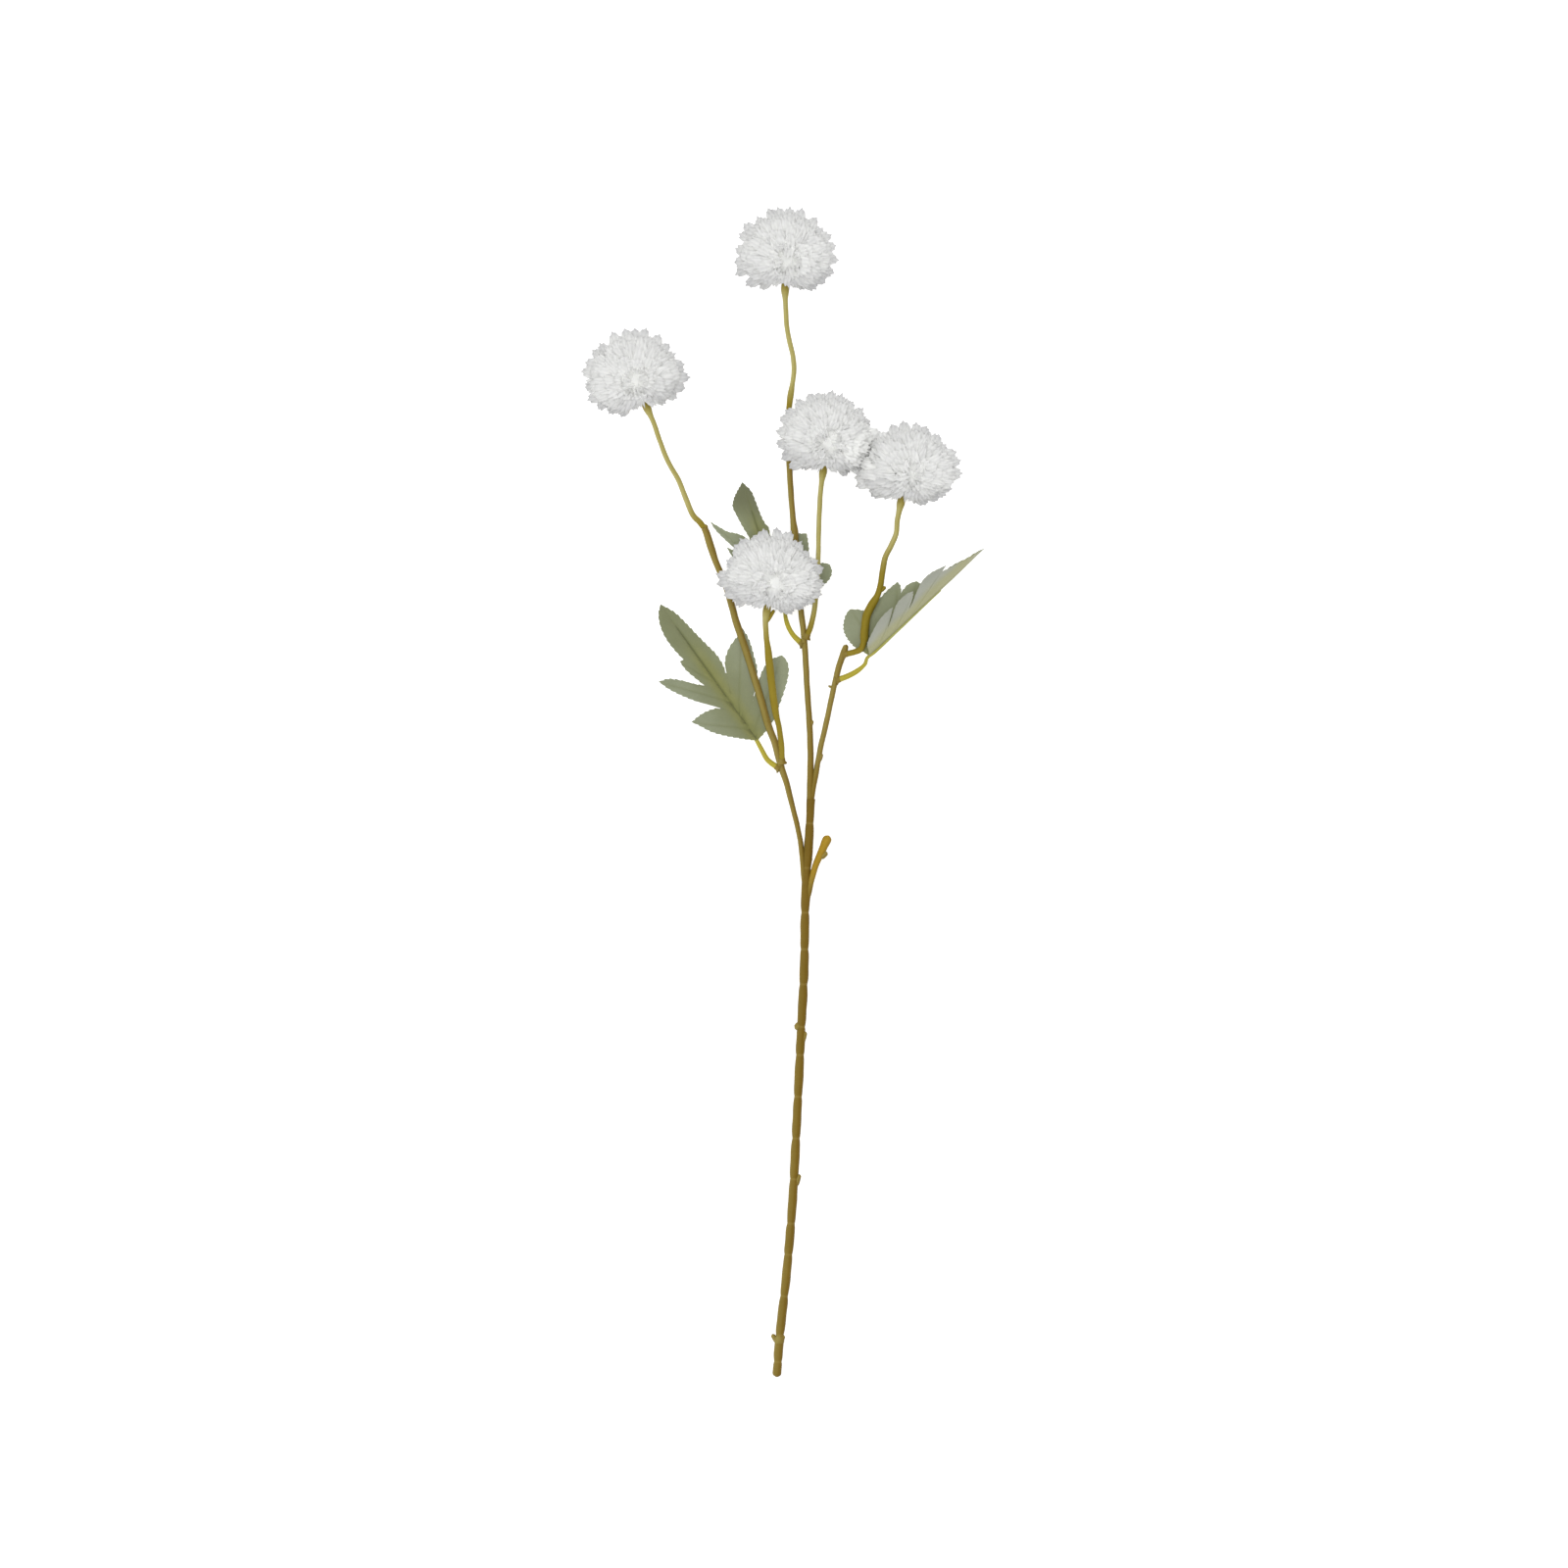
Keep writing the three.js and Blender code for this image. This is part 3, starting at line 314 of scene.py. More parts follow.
# Each leaf: base and tip, the arch of the rib between them, how dark the painted shade is at its end,
# and the route and boss of its stalk, as a bloom's, with its radii where they aren't LEAF_STALK_RADII.
# For each half: its tilt at the rib and TILT_REACH out from it, its width as a share of the
# pattern's, its sweep towards the tip for each millimetre out, its band where it isn't BAND, and its
# edge, from the base to the tip. A stretch of the edge runs from one sharp corner to the next, in
# turn out to the tip of a lobe and back into a cut. It is given as the point of the rib from which
# the blade spreads to its end, and its points as [along the rib, out from it].
LEAVES = [
    {
        "base": [-13.8, 328.4, 2.9],
        "tip": [-63.9, 398.3, 2.6],
        "arch": 0.6,
        "painted_tip_shade": 0.2,
        "left": {
            "tilt": [24, 30.17],
            "width": 0.95,
            "sweep": 0,
            "edge": [
                [7, [[2.4, 3.87], [7, 9.47], [11.8, 14.87], [17.4, 19.87], [23.1, 23.37], [27.2, 26.47]]],
                [15, [[27.6, 20.6], [27.2, 14.9], [25.6, 9.1], [23.6, 6.3]]],
                [24, [[26.5, 8.4], [31, 12.9], [36.2, 18.1], [42.4, 22.5], [48.4, 25.8], [54, 28]]],
                [30, [[52.4, 22.3], [48.6, 17.2], [43.2, 12.1], [38.6, 6.9]]],
                [35, [[45.4, 9.1], [51.2, 10.6], [56, 10.6]]],
                [36, [[55.9, 8]]],
                [86, [[59.1, 8.7], [64.9, 9.4], [70.8, 9.2], [77, 7.6], [82.6, 4.3], [86, 0]]],
            ],
        },
        "right": {
            "tilt": [-2, -4],
            "width": 1.03,
            "sweep": 0,
            "edge": [
                [4, [
                    [1.1, 5.8], [2.8, 11], [6.4, 16.5], [9.3, 20.8], [13.4, 26.3], [17.2, 30.7],
                    [21, 33.8], [24.6, 35.1], [28.3, 34.7],
                ]],
                [10, [[29.5, 30.6], [29.4, 26.6], [28.1, 22.7], [25.7, 19.2], [22.2, 14.8], [17.5, 8.5]]],
                [17, [
                    [22.8, 14.5], [26.9, 18.4], [30.4, 20.9], [35.3, 22.7], [40.9, 24.7],
                    [46.5, 26.1], [52, 26.4],
                ]],
                [25, [[49.6, 21.9], [47.9, 16.7], [45.7, 12.8], [42.4, 9.3], [37, 7.3], [31.3, 5.9]]],
                [86, [
                    [36.8, 6.5], [42.2, 7.9], [48.5, 8.2], [55, 7.2], [62.8, 6], [71.1, 4.9],
                    [78.8, 3.4], [86, 0],
                ]],
            ],
        },
        "boss": 2.8,
        "stalk": [[-4.6, 314.9, 4.4], [-8.6, 318, 3.4], [-11.6, 323, 2.2]],
    },
    {
        "base": [0.2, 396.6, 2.6],
        "tip": [-21.7, 461.2, 4],
        "arch": 0,
        "painted_tip_shade": 1,
        "left": {
            "tilt": [7, 9],
            "width": 0.7,
            "sweep": 0.5,
            "edge": [
                [5, [[0, 5.4], [3.4, 13.3], [13.6, 19.6], [26.7, 24.4], [35.9, 26.8]]],
                [12, [[34.5, 22.5], [29.4, 17.7], [23.6, 13.2], [17.5, 10]]],
                [20, [
                    [26.5, 12.2], [32.3, 16.8], [36.4, 20.8], [38.5, 23.4], [42.5, 27],
                    [47.3, 30.4], [52.6, 31.9],
                ]],
                [28, [[50.1, 27.1], [47.7, 22], [47.6, 16.3], [46.1, 11.1], [42.7, 8.2]]],
                [86, [[47, 8.7], [53, 10.5], [60.4, 12.1], [66.2, 12.9], [71.7, 10.6], [78.7, 5.9], [86, 0]]],
            ],
        },
        "right": {
            "tilt": [-1, -2],
            "width": 0.88,
            "sweep": -0.36,
            "edge": [
                [4, [
                    [2, 5.8], [4.9, 12], [7.4, 16.7], [10.8, 20.7], [14.6, 25.6], [19.7, 30.8],
                    [24.7, 33.2], [29, 33.1],
                ]],
                [10, [[30.3, 30.6], [29.5, 27], [25.9, 21.6], [18, 11.8]]],
                [16, [[25.3, 17.6], [31.2, 21.7], [37.2, 23.7], [43.6, 25.1], [50.4, 26.1]]],
                [24, [[50.5, 22], [47.8, 16.2], [42.2, 9.8], [33.6, 3]]],
                [31, [[39.6, 4.2], [47.6, 5.2], [55, 6.2]]],
                [86, [[58, 4.9], [63.7, 4.1], [72.1, 3.8], [79.9, 3.2], [86, 0]]],
            ],
        },
        "boss": 2.8,
        "stalk": [[7.9, 379, 5], [4, 383, 3.6], [1.1, 389.2, 1.9]],
    },
    {
        "base": [43.3, 372, 5.6],
        "tip": [102.8, 426.9, 9],
        "arch": 1.5,
        "painted_tip_shade": 0,
        "left": {
            "tilt": [-5, -7],
            "width": 0.72,
            "sweep": -0.45,
            "edge": [
                [6, [
                    [1, 4.6], [1.6, 9.2], [4.7, 16.7], [8.6, 23.1], [11.9, 26.9], [16.8, 30.7],
                    [21.4, 33.1], [24.6, 33.4],
                ]],
                [12, [[26, 29.5], [26.1, 24.9], [24.6, 21.4], [22.3, 18.4]]],
                [20, [[25.4, 20.2], [29.6, 22.4], [35.9, 24.2], [43.4, 25.2], [50, 24.8]]],
                [27, [[48.3, 21.5], [45.7, 18.9], [41.7, 17.1], [37.3, 15.2]]],
                [31, [[45.2, 17.6], [50.3, 18.3], [53.8, 15.9]]],
                [34, [[53.1, 12.8], [50.5, 10.5], [46.2, 7.2]]],
                [86, [[51.5, 7.9], [58.1, 8], [66.3, 7.4], [72, 5.9], [77.1, 3.4], [82.3, 2], [86, 0]]],
            ],
        },
        "right": {
            "tilt": [100, 114],
            "width": 0.95,
            "sweep": 0.35,
            "band": [10, 23, 0.8],
            "edge": [
                [6, [[-1, 8], [-3.2, 21.8], [0.1, 28.7], [3.6, 31.8], [10.6, 32.2], [16.9, 31.9]]],
                [11, [[15.6, 27.7], [13.1, 20.2], [11.8, 14]]],
                [18, [[14.4, 19.4], [17.2, 27.7], [19.8, 33.2], [22.3, 35.4], [26.2, 36.5], [30.5, 33.2]]],
                [23, [[30.3, 27], [28.3, 19.4], [26.5, 15]]],
                [29, [[30.2, 20.2], [32.6, 26.3], [37.5, 31.1], [46.4, 30.3], [55.2, 27.6]]],
                [31, [[52.6, 24.1], [49, 21.9]]],
                [86, [[52.8, 23.5], [56.2, 21.8], [63.8, 17], [72.1, 10], [79.3, 5.5], [86, 0]]],
            ],
        },
        "boss": 2.6,
        "stalk": [
            [28.8, 359.8, 5.6], [33.4, 361.6, 5.4], [38.4, 364.6, 5.2], [41.5, 367.5, 5.1],
            [42.6, 370.6, 5],
        ],
        "radii": [[0, 1.5], [0.14, 1.35], [0.22, 1], [0.3, RIB_RADIUS], [1, 0.5 * RIB_RADIUS]],
    },
]
LEAF_STALK_RADII = [[0, 1.5], [0.17, 1.25], [0.36, RIB_RADIUS], [1, 0.5 * RIB_RADIUS]]


def place(points):
    """Millimetres of the drawn frame as metres of the part's frame: (points - origin) MM."""
    return (points - DRAWN_ORIGIN) * MM


def unit(vectors):
    """Vectors divided by their lengths."""
    vectors = np.asarray(vectors, float)
    return vectors / np.linalg.norm(vectors, axis=-1, keepdims=True)


def degrees_from(axis, ways):
    """The angles between unit vectors and an axis: the arc cosine of their product."""
    return np.degrees(np.arccos(np.clip(ways @ axis, -1, 1)))


def smooth(start, end, x):
    """0 before start, 1 past end, and 3t^2 - 2t^3 at a share t of the way from start to end."""
    t = np.clip((x - start) / (end - start), 0, 1)
    return t * t * (3 - 2 * t)


def bell(x, middle, width):
    """1 in the middle, falling on both sides as exp(-((x - middle) / width)^2)."""
    return np.exp(-(((x - middle) / width) ** 2))


def value_at(rows, x):
    """The value at x in rows of [x, value], on straight lines from one to the next."""
    return np.interp(x, *np.transpose(rows))


def spline(points):
    """A smooth curve through points.

    Between two points it is the cubic whose slopes at them are those of the parabolas through them
    and their neighbours, with the square root of each chord as the step of the curve's parameter.
    """
    points = np.asarray(points, float)
    ends = [2 * points[0] - points[1], 2 * points[-1] - points[-2]]
    p = np.vstack([ends[:1], points, ends[1:]])
    step = np.sqrt(np.linalg.norm(np.diff(p, axis=0), axis=1))[:, None]
    a, b, c = step[:-2], step[1:-1], step[2:]
    before, start, end, after = p[:-3], p[1:-2], p[2:-1], p[3:]
    slope = ((start - before) / a - (end - before) / (a + b) + (end - start) / b) * b
    slope_on = ((end - start) / b - (after - start) / (b + c) + (after - end) / c) * b
    t = np.linspace(0, 1, SPLINE_STEPS, endpoint=False)[None, :, None]
    start, end, slope, slope_on = (x[:, None, :] for x in (start, end, slope, slope_on))
    body = (
        start
        + slope * t
        + (3 * (end - start) - 2 * slope - slope_on) * t**2
        + (2 * (start - end) + slope + slope_on) * t**3
    )
    return np.vstack([body.reshape(-1, p.shape[1]), points[-1:]])


def even(curve, step):
    """Points at even lengths along a curve, about a step apart, and those lengths.

    The lengths are equal shares of the sum of the curve's chords, and the points lie on the chords.
    """
    chords = np.linalg.norm(np.diff(curve, axis=0), axis=1)
    length = np.concatenate([[0], np.cumsum(chords)])
    count = max(2, int(round(length[-1] / step)) + 1)
    s = np.linspace(0, 1, count) * length[-1]
    return np.stack([np.interp(s, length, x) for x in curve.T], axis=1), s


def grid_faces(rows, columns):
    """The quads of a grid of rows by columns whose last column meets its first.

    Corner j of row i is number i columns + j.
    """
    i, j = np.meshgrid(np.arange(rows - 1), np.arange(columns), indexing="ij")
    i, j = i.ravel(), j.ravel()
    k = (j + 1) % columns
    return np.stack([i * columns + j, i * columns + k, (i + 1) * columns + k, (i + 1) * columns + j], 1)


def sheet_faces(rows, columns, turned=False):
    """The quads all round a thin sheet: each row crosses its upper face and comes back below.

    The first and last rows are closed by quads between a corner and the one below it.
    """
    width = 2 * columns
    j = np.arange(columns - 1)
    ends = []
    for row, first in ((0, True), (rows - 1, False)):
        a, b = row * width + j, row * width + j + 1
        c, d = row * width + width - 2 - j, row * width + width - 1 - j
        ends.append(np.stack([a, d, c, b] if first else [a, b, c, d], 1))
    faces = np.vstack([grid_faces(rows, width), *ends])
    return faces[:, ::-1] if turned else faces


def both_faces(upper, lower, axis):
    """A sheet's corners or their values: across its upper face, then back across its lower one."""
    return np.concatenate([upper, np.flip(lower, axis)], axis)


def fan_faces(pole, first, columns, turned):
    """The triangles between a pole and the ring of corners that starts at first."""
    j = np.arange(columns)
    ring = np.stack([first + j, first + (j + 1) % columns], 1)
    if turned:
        ring = ring[:, ::-1]
    return np.column_stack([np.full(columns, pole), ring])


class Skin:
    """Collects grids of corners and their faces, with one value of each attribute a corner.

    The attribute right, where a skin has it, is worked out from a tube's rings; it places painted
    light on the left of a stem and painted shade on its right.
    """

    def __init__(self, *attributes):
        """Starts with no corners."""
        self.corners, self.quads, self.triangles, self.count = [], [], [], 0
        self.values = {name: [] for name in attributes}

    def add(self, corners, quads, triangles=(), **values):
        """Adds corners, the faces between them, and their attributes' values, 0 where none is given."""
        corners = corners.reshape(-1, 3)
        self.corners.append(corners)
        self.quads.append(np.asarray(quads, int).reshape(-1, 4) + self.count)
        self.triangles.append(np.asarray(triangles, int).reshape(-1, 3) + self.count)
        for name, all_values in self.values.items():
            all_values.append(np.broadcast_to(np.ravel(values.get(name, 0.0)), len(corners)))
        self.count += len(corners)

    def tube(self, rings, **values):
        """Adds a closed tube: rings of corners along it, and a pole in the middle of each end.

        A value is one number for the whole tube, one for each ring or one for each corner.
        """
        rows, sides, _ = rings.shape
        corners = np.vstack([rings.reshape(-1, 3), rings[0].mean(0), rings[-1].mean(0)])
        quads = grid_faces(rows, sides)
        first_pole, last_pole = rows * sides, rows * sides + 1
        triangles = np.vstack([
            fan_faces(first_pole, 0, sides, True),
            fan_faces(last_pole, (rows - 1) * sides, sides, False),
        ])
        # right places painted light on the left of a stem and painted shade on its right
        if "right" in self.values:
            values["right"] = painted_light_side(rings)
        spread = {}
        for name, value in values.items():
            value = np.asarray(value, float)
            by_ring = value[:, None] if value.ndim == 1 else value
            by_corner = np.broadcast_to(by_ring, (rows, sides))
            spread[name] = np.concatenate([by_corner.ravel(), by_corner[[0, -1]].mean(1)])
        self.add(corners, quads, triangles, **spread)

    def piece(self, name, material, slot, node):
        """Makes the mesh and its object, which stands for a CAD node and rides on the body."""
        mesh = bpy.data.meshes.new(name)
        faces = np.vstack(self.quads).tolist() + np.vstack(self.triangles).tolist()
        mesh.from_pydata(place(np.vstack(self.corners)).tolist(), [], faces)
        for attribute, values in self.values.items():
            layer = mesh.attributes.new(attribute, "FLOAT", "POINT")
            layer.data.foreach_set("value", np.concatenate(values).astype(np.float32))
        mesh.shade_smooth()
        mesh.set_sharp_from_angle(angle=math.radians(SHARP_ANGLE))
        mesh.materials.append(material)
        mesh.validate()
        piece = bpy.data.objects.new(name, mesh)
        bpy.context.scene.collection.objects.link(piece)
        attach(piece, "root")
        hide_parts(node)


def stem_rings(route, radius_of, seed=1, round_start=False, round_end=False):
    """The rings of corners of a stem's skin along a smooth route, and their lengths s along it.

    A corner at a turn a is route(s) + r (side cos a + over sin a), where side is level and over is
    square to side and to the route. With x = s + SEED_STEP seed, r is the radius at s times
    1 + SWELLING sin(2a + 0.31 x) sin(0.17 x) + RIDGE sin(5a - 0.6 x). A round end narrows as
    a half circle over its last radius, as far as ROUND_END of it.
    """
    points, s = even(spline(route), ROW_STEP)
    radius = radius_of(s)
    for end, wanted in ((0, round_start), (-1, round_end)):
        if wanted:
            near = np.clip(1 - np.abs(s - s[end]) / radius[end], 0, ROUND_END)
            radius = radius * np.sqrt(1 - near**2)
    tangent = unit(np.gradient(points, axis=0))
    side = unit(np.cross(tangent, UP))
    over = np.cross(side, tangent)
    a = 2 * np.pi * np.arange(SKIN_SIDES) / SKIN_SIDES
    x = s[:, None] + SEED_STEP * seed
    swelling = SWELLING * np.sin(2 * a + 0.31 * x) * np.sin(0.17 * x)
    uneven = 1 + swelling + RIDGE * np.sin(5 * a - 0.6 * x)
    out = side[:, None] * np.cos(a)[:, None] + over[:, None] * np.sin(a)[:, None]
    rings = points[:, None] + (radius[:, None] * uneven)[..., None] * out
    # Turned back, so that faces point outwards
    return rings[:, ::-1], s


def painted_light_side(rings):
    """0 on the left of a ring of corners and 1 on its right: (1 + the share in x of the way out) / 2. It
    places painted light and painted shade on the stems.
    """
    out = rings - rings.mean(1, keepdims=True)
    return 0.5 + 0.5 * out[..., 0] / np.linalg.norm(out, axis=2)


def radii_along(radii):
    """Returns a function for the radius at lengths along a stem, from rows of [share, radius]."""
    shares, values = np.array(radii, float).T

    def radius_of(s):
        """At a share t of the way from one row to the next, 3t^2 - 2t^3 of the way between radii."""
        share = s / s[-1]
        i = np.clip(np.searchsorted(shares, share, side="right") - 1, 0, len(shares) - 2)
        return values[i] + (values[i + 1] - values[i]) * smooth(shares[i], shares[i + 1], share)

    return radius_of


def trunk_radius(s):
    """Pinched at each ring, and swollen by 1 - |2f - 1|^5 at a share f of the way to the next."""
    edges = np.array([0, *RINGS, NEXT_RING])
    i = np.clip(np.searchsorted(edges, s, side="right") - 1, 0, len(edges) - 2)
    f = (s - edges[i]) / (edges[i + 1] - edges[i])
    return PINCHED_RADIUS + (SWOLLEN_RADIUS - PINCHED_RADIUS) * (1 - np.abs(2 * f - 1) ** 5)


def ring_line(s):
    """A bell about RING_WIDTH wide round each ring of the trunk."""
    apart = np.abs(s[:, None] - np.array(RINGS)).min(1)
    return bell(apart, 0, 0.5 * RING_WIDTH)


def foot_of(route):
    """A stalk's first point, and the unit vector from it to the second."""
    foot = np.array(route[0], float)
    return foot, unit(np.array(route[1], float) - foot)


def boss_route(route, length):
    """A straight line in front of a stalk's foot, from a boss's length away to GAP away."""
    foot, heading = foot_of(route)
    return [foot - heading * length, foot - heading * GAP]


def sunk(route):
    """A stalk's route with its foot moved back by FOOT_SINK, into what it stands on."""
    foot, heading = foot_of(route)
    return [foot - FOOT_SINK * heading, *route[1:]]


def nub_rings(x, y, z, heading, length, radius):
    """The rings of a level straight nub with round ends, its length towards the heading."""
    start = np.array([x, y, z], float)
    turn = math.radians(heading)
    towards = np.array([math.cos(turn), math.sin(turn), 0.0])
    radii = [[share, radius * wide] for share, wide in NUB_SHAPE]
    route = [start, start + length * towards]
    return stem_rings(route, radii_along(radii), round_start=True, round_end=True)[0]


def main_stem(material):
    """The trunk, its branches, the bosses of the stalks and the nubs, in one skin.

    The trunk's gold follows TRUNK_GOLD, and it has a pale line at each ring. A branch's gold is
    (0.15 + 0.6 a)(1 - 0.3 b), where a rises from 0 to 1 from share 0.1 to 0.45 of its length and b
    from 0.6 to 0.95. Its amber, if it has any, is full from half its length on.
    """
    skin = Skin("ring", "gold", "amber", "right")
    rings, s = stem_rings(TRUNK, trunk_radius, seed=3, round_start=True)
    skin.tube(rings, ring=ring_line(s), gold=value_at(TRUNK_GOLD, s / s[-1]))
    for number, branch in enumerate(BRANCHES):
        radii = radii_along(branch["radii"])
        rings, s = stem_rings(branch["route"], radii, seed=5 + number, round_end=True)
        share = s / s[-1]
        gold = (0.15 + 0.6 * smooth(0.1, 0.45, share)) * (1 - 0.3 * smooth(0.6, 0.95, share))
        skin.tube(rings, gold=gold, amber=branch.get("amber", 0.0) * smooth(0.1, 0.5, share))
    for design in BLOOMS + LEAVES:
        if "boss" in design:
            route = boss_route(design["stalk"], design["boss"])
            skin.tube(stem_rings(route, radii_along(BOSS_RADII))[0], gold=BOSS_GOLD)
    for nub in NUBS:
        skin.tube(nub_rings(*nub), gold=NUB_GOLD)
    skin.piece("stem_skin", material, "stem", "main_stem")


def flower_stalk(number, design, material):
    """The stalk of a bloom, from its boss or branch to inside the bloom, and its nub, if it has one.

    Under the bloom it swells by CALYX_RISE times a bell CALYX_WIDTH wide. It is brown up to the
    share that its design gives, eased over a tenth of its length either way, and at the swelling.
    """
    middle, axis = np.array(design["middle"]), unit(design["axis"])
    plain = radii_along(design["radii"])

    def radius_of(s):
        """The radii of the design, with the swelling."""
        return plain(s) + CALYX_RISE * bell(s[-1] - s, CALYX_DEPTH - STALK_END, CALYX_WIDTH)

    route = [*sunk(design["stalk"]), middle - STALK_END * axis]
    rings, s = stem_rings(route, radius_of, seed=20 + number)
    skin = Skin("brown", "right")
    foot = 1 - smooth(design["brown"] - 0.1, design["brown"] + 0.1, s / s[-1])
    calyx = CALYX_BROWN * smooth(*CALYX_BROWN_FROM, s[-1] - s)
    skin.tube(rings, brown=np.maximum(foot, calyx))
    if "nub" in design:
        skin.tube(nub_rings(*design["nub"]), brown=1.0)
    skin.piece(f"flower_stalk_skin_{number}", material, "stalk", f"flower_stalk_{number}")


def leaf_lift(design):
    """Returns a function that lifts the flat pattern (u, v) of a leaf to points and normals.

    The rib goes from base to tip and rises by arch sin(pi u / LEAF_LENGTH). Out from the rib a half
    turns steadily from its first tilt to its second over TILT_REACH, so that at a distance d, which
    is |v| times its width, it is (sin(t0 + k d) - sin t0) / k outwards and
    (cos t0 - cos(t0 + k d)) / k upwards, and sweep |v| along. It ripples square to its face by
    RIPPLE (v / TILT_REACH)^2 sin(2 pi u / RIPPLE_LENGTH + side), where side is 1 or -1.
    """
    base, tip = np.array(design["base"], float), np.array(design["tip"], float)
    scale = np.linalg.norm(tip - base) / LEAF_LENGTH
    along = unit(tip - base)
    leftwards = unit(np.cross(UP, along))
    over = np.cross(along, leftwards)

    def lift(u, v):
        """The point and the unit normal for each u along the rib and v out from it, left or right."""
        out = np.abs(v)
        point = base + scale * u[..., None] * along
        rise = design["arch"] * np.sin(np.pi * u / LEAF_LENGTH)
        normal = np.zeros(u.shape + (3,))
        for side, half in ((1, design["left"]), (-1, design["right"])):
            mine = ((v >= 0) if side > 0 else (v < 0))[..., None]
            t0, t1 = np.radians(half["tilt"])
            k = (t1 - t0) / TILT_REACH
            tilt = t0 + k * half["width"] * out
            level = (np.sin(tilt) - np.sin(t0)) / k
            height = (np.cos(t0) - np.cos(tilt)) / k
            square = np.cos(tilt)[..., None] * over - side * np.sin(tilt)[..., None] * leftwards
            wave = np.sin(2 * np.pi * u / RIPPLE_LENGTH + side)
            ripple = RIPPLE * (out / TILT_REACH) ** 2 * wave
            moved = (
                scale * (half["sweep"] * out)[..., None] * along
                + side * level[..., None] * leftwards
                + (height + rise)[..., None] * over
                + ripple[..., None] * square
            )
            point = point + mine * moved
            normal = normal + mine * square
        return point, normal

    return lift


def leaf_edge(half):
    """The edge of one half of a leaf with its teeth, and the rib's point that each point spreads from.

    Each stretch is a smooth curve. A tooth rises by SERRATION_DEPTH over its step towards the lobe's
    tip and drops there, and the teeth fade out over the first and last tenth of the stretch.
    """
    edge, rib = [], []
    corner, spread = [0, EDGE_START], 0
    for number, (next_spread, points) in enumerate(half["edge"]):
        curve, s = even(spline([corner, *points]), EDGE_STEP)
        share = s / s[-1]
        tangent = unit(np.gradient(curve, axis=0))
        outwards = np.stack([-tangent[:, 1], tangent[:, 0]], 1)
        phase = (s / SERRATION_STEP) % 1.0
        if number % 2:
            phase = 1 - phase
        fade = smooth(0, 0.1, share) * smooth(1, 0.9, share)
        tooth = SERRATION_DEPTH * fade * (phase - SERRATION_INSIDE)
        edge.append((curve + tooth[:, None] * outwards)[:-1])
        rib.append((spread + (next_spread - spread) * share)[:-1])
        corner, spread = points[-1], next_spread
    return np.vstack([*edge, [corner]]), np.concatenate([*rib, [spread]])


def vein_depth(half, u, v):
    """How near a point of the pattern is to a vein: the sum of bells round the rib and the veins.

    A vein runs from the rib to the tip of each lobe, where the stretches of even number end. It
    fades in over its first 4 mm and out over its last quarter.
    """
    out = np.abs(v)
    depth = bell(out, 0, RIB_VEIN_WIDTH) * (1 - smooth(*RIB_VEIN_END, u))
    for u0, points in half["edge"][:-1:2]:
        u1, v1 = points[-1]
        length = math.hypot(u1 - u0, v1)
        along = ((u - u0) * (u1 - u0) + out * v1) / length
        apart = ((u - u0) * v1 - out * (u1 - u0)) / length
        fade = smooth(0, 4, along) * (1 - smooth(0.75 * length, length, along))
        depth = depth + LOBE_VEIN_DEPTH * fade * bell(apart, 0, LOBE_VEIN_WIDTH)
    return np.clip(depth, 0, 1)


def fold(lift, u):
    """The points of a leaf's middle line at u, and the normal there.

    The normal is lengthened by the mitre 1 / cos(half the angle between the halves' normals), so
    that the faces of both halves meet in one corner.
    """
    point, left = lift(u, np.full_like(u, ON_RIB))
    _, right = lift(u, np.full_like(u, -ON_RIB))
    middle = unit(left + right)
    return point, middle / np.sum(middle * left, axis=1, keepdims=True)


def leaf(number, design, material):
    """A leaf's blade: each half spreads from the rib to the edge, on a grid of both faces.

    A point at a share t of the way from the rib's point to the edge's is lifted, moved down its
    normal by VEIN_DIP times the vein's depth, and up or down by half the thickness times
    1 - EDGE_THINNING t^6. The band along the rib fades outwards and along, the lobes are paler from
    3 to 20 mm out, less so past 0.65 of the leaf, and the end is darker from 0.6 to 0.88 of it, as
    painted shade.
    """
    lift = leaf_lift(design)
    t = np.linspace(0, 1, ACROSS_STEPS + 1) ** ACROSS_POWER
    skin = Skin("band", "vein", "under", "pale", "painted_tip_shade")
    for side, half in ((1, design["left"]), (-1, design["right"])):
        edge, rib = leaf_edge(half)
        u = rib[:, None] * (1 - t) + edge[:, 0][:, None] * t
        v = side * np.maximum(edge[:, 1][:, None] * t, ON_RIB)
        point, normal = lift(u, v)
        normal[:, 0] = fold(lift, u[:, 0])[1]
        vein = vein_depth(half, u, v)
        middle = point - (VEIN_DIP * vein)[..., None] * normal
        thick = (0.5 * LEAF_THICKNESS * (1 - EDGE_THINNING * t**6))[:, None] * normal
        out, along = np.abs(v), u / LEAF_LENGTH
        inner, outer, until = half.get("band", BAND)
        upper = {
            "band": (1 - smooth(inner, outer, out)) * (1 - smooth(until, until + 0.3, along)),
            "vein": vein,
            "pale": smooth(3, 20, out) * (1 - 0.6 * smooth(0.65, 1, along)),
            # Painted shade: darker towards the end of the leaf
            "painted_tip_shade": design["painted_tip_shade"] * smooth(0.6, 0.88, along),
        }
        values = {name: both_faces(value, value, 1) for name, value in upper.items()}
        values["under"] = both_faces(np.zeros_like(u), np.ones_like(u), 1)
        loop = both_faces(middle + thick, middle - thick, 1)
        skin.add(loop, sheet_faces(*u.shape, turned=side > 0), **values)
    skin.piece(f"leaf_blade_{number}", material, "leaf", f"leaf_{number}")


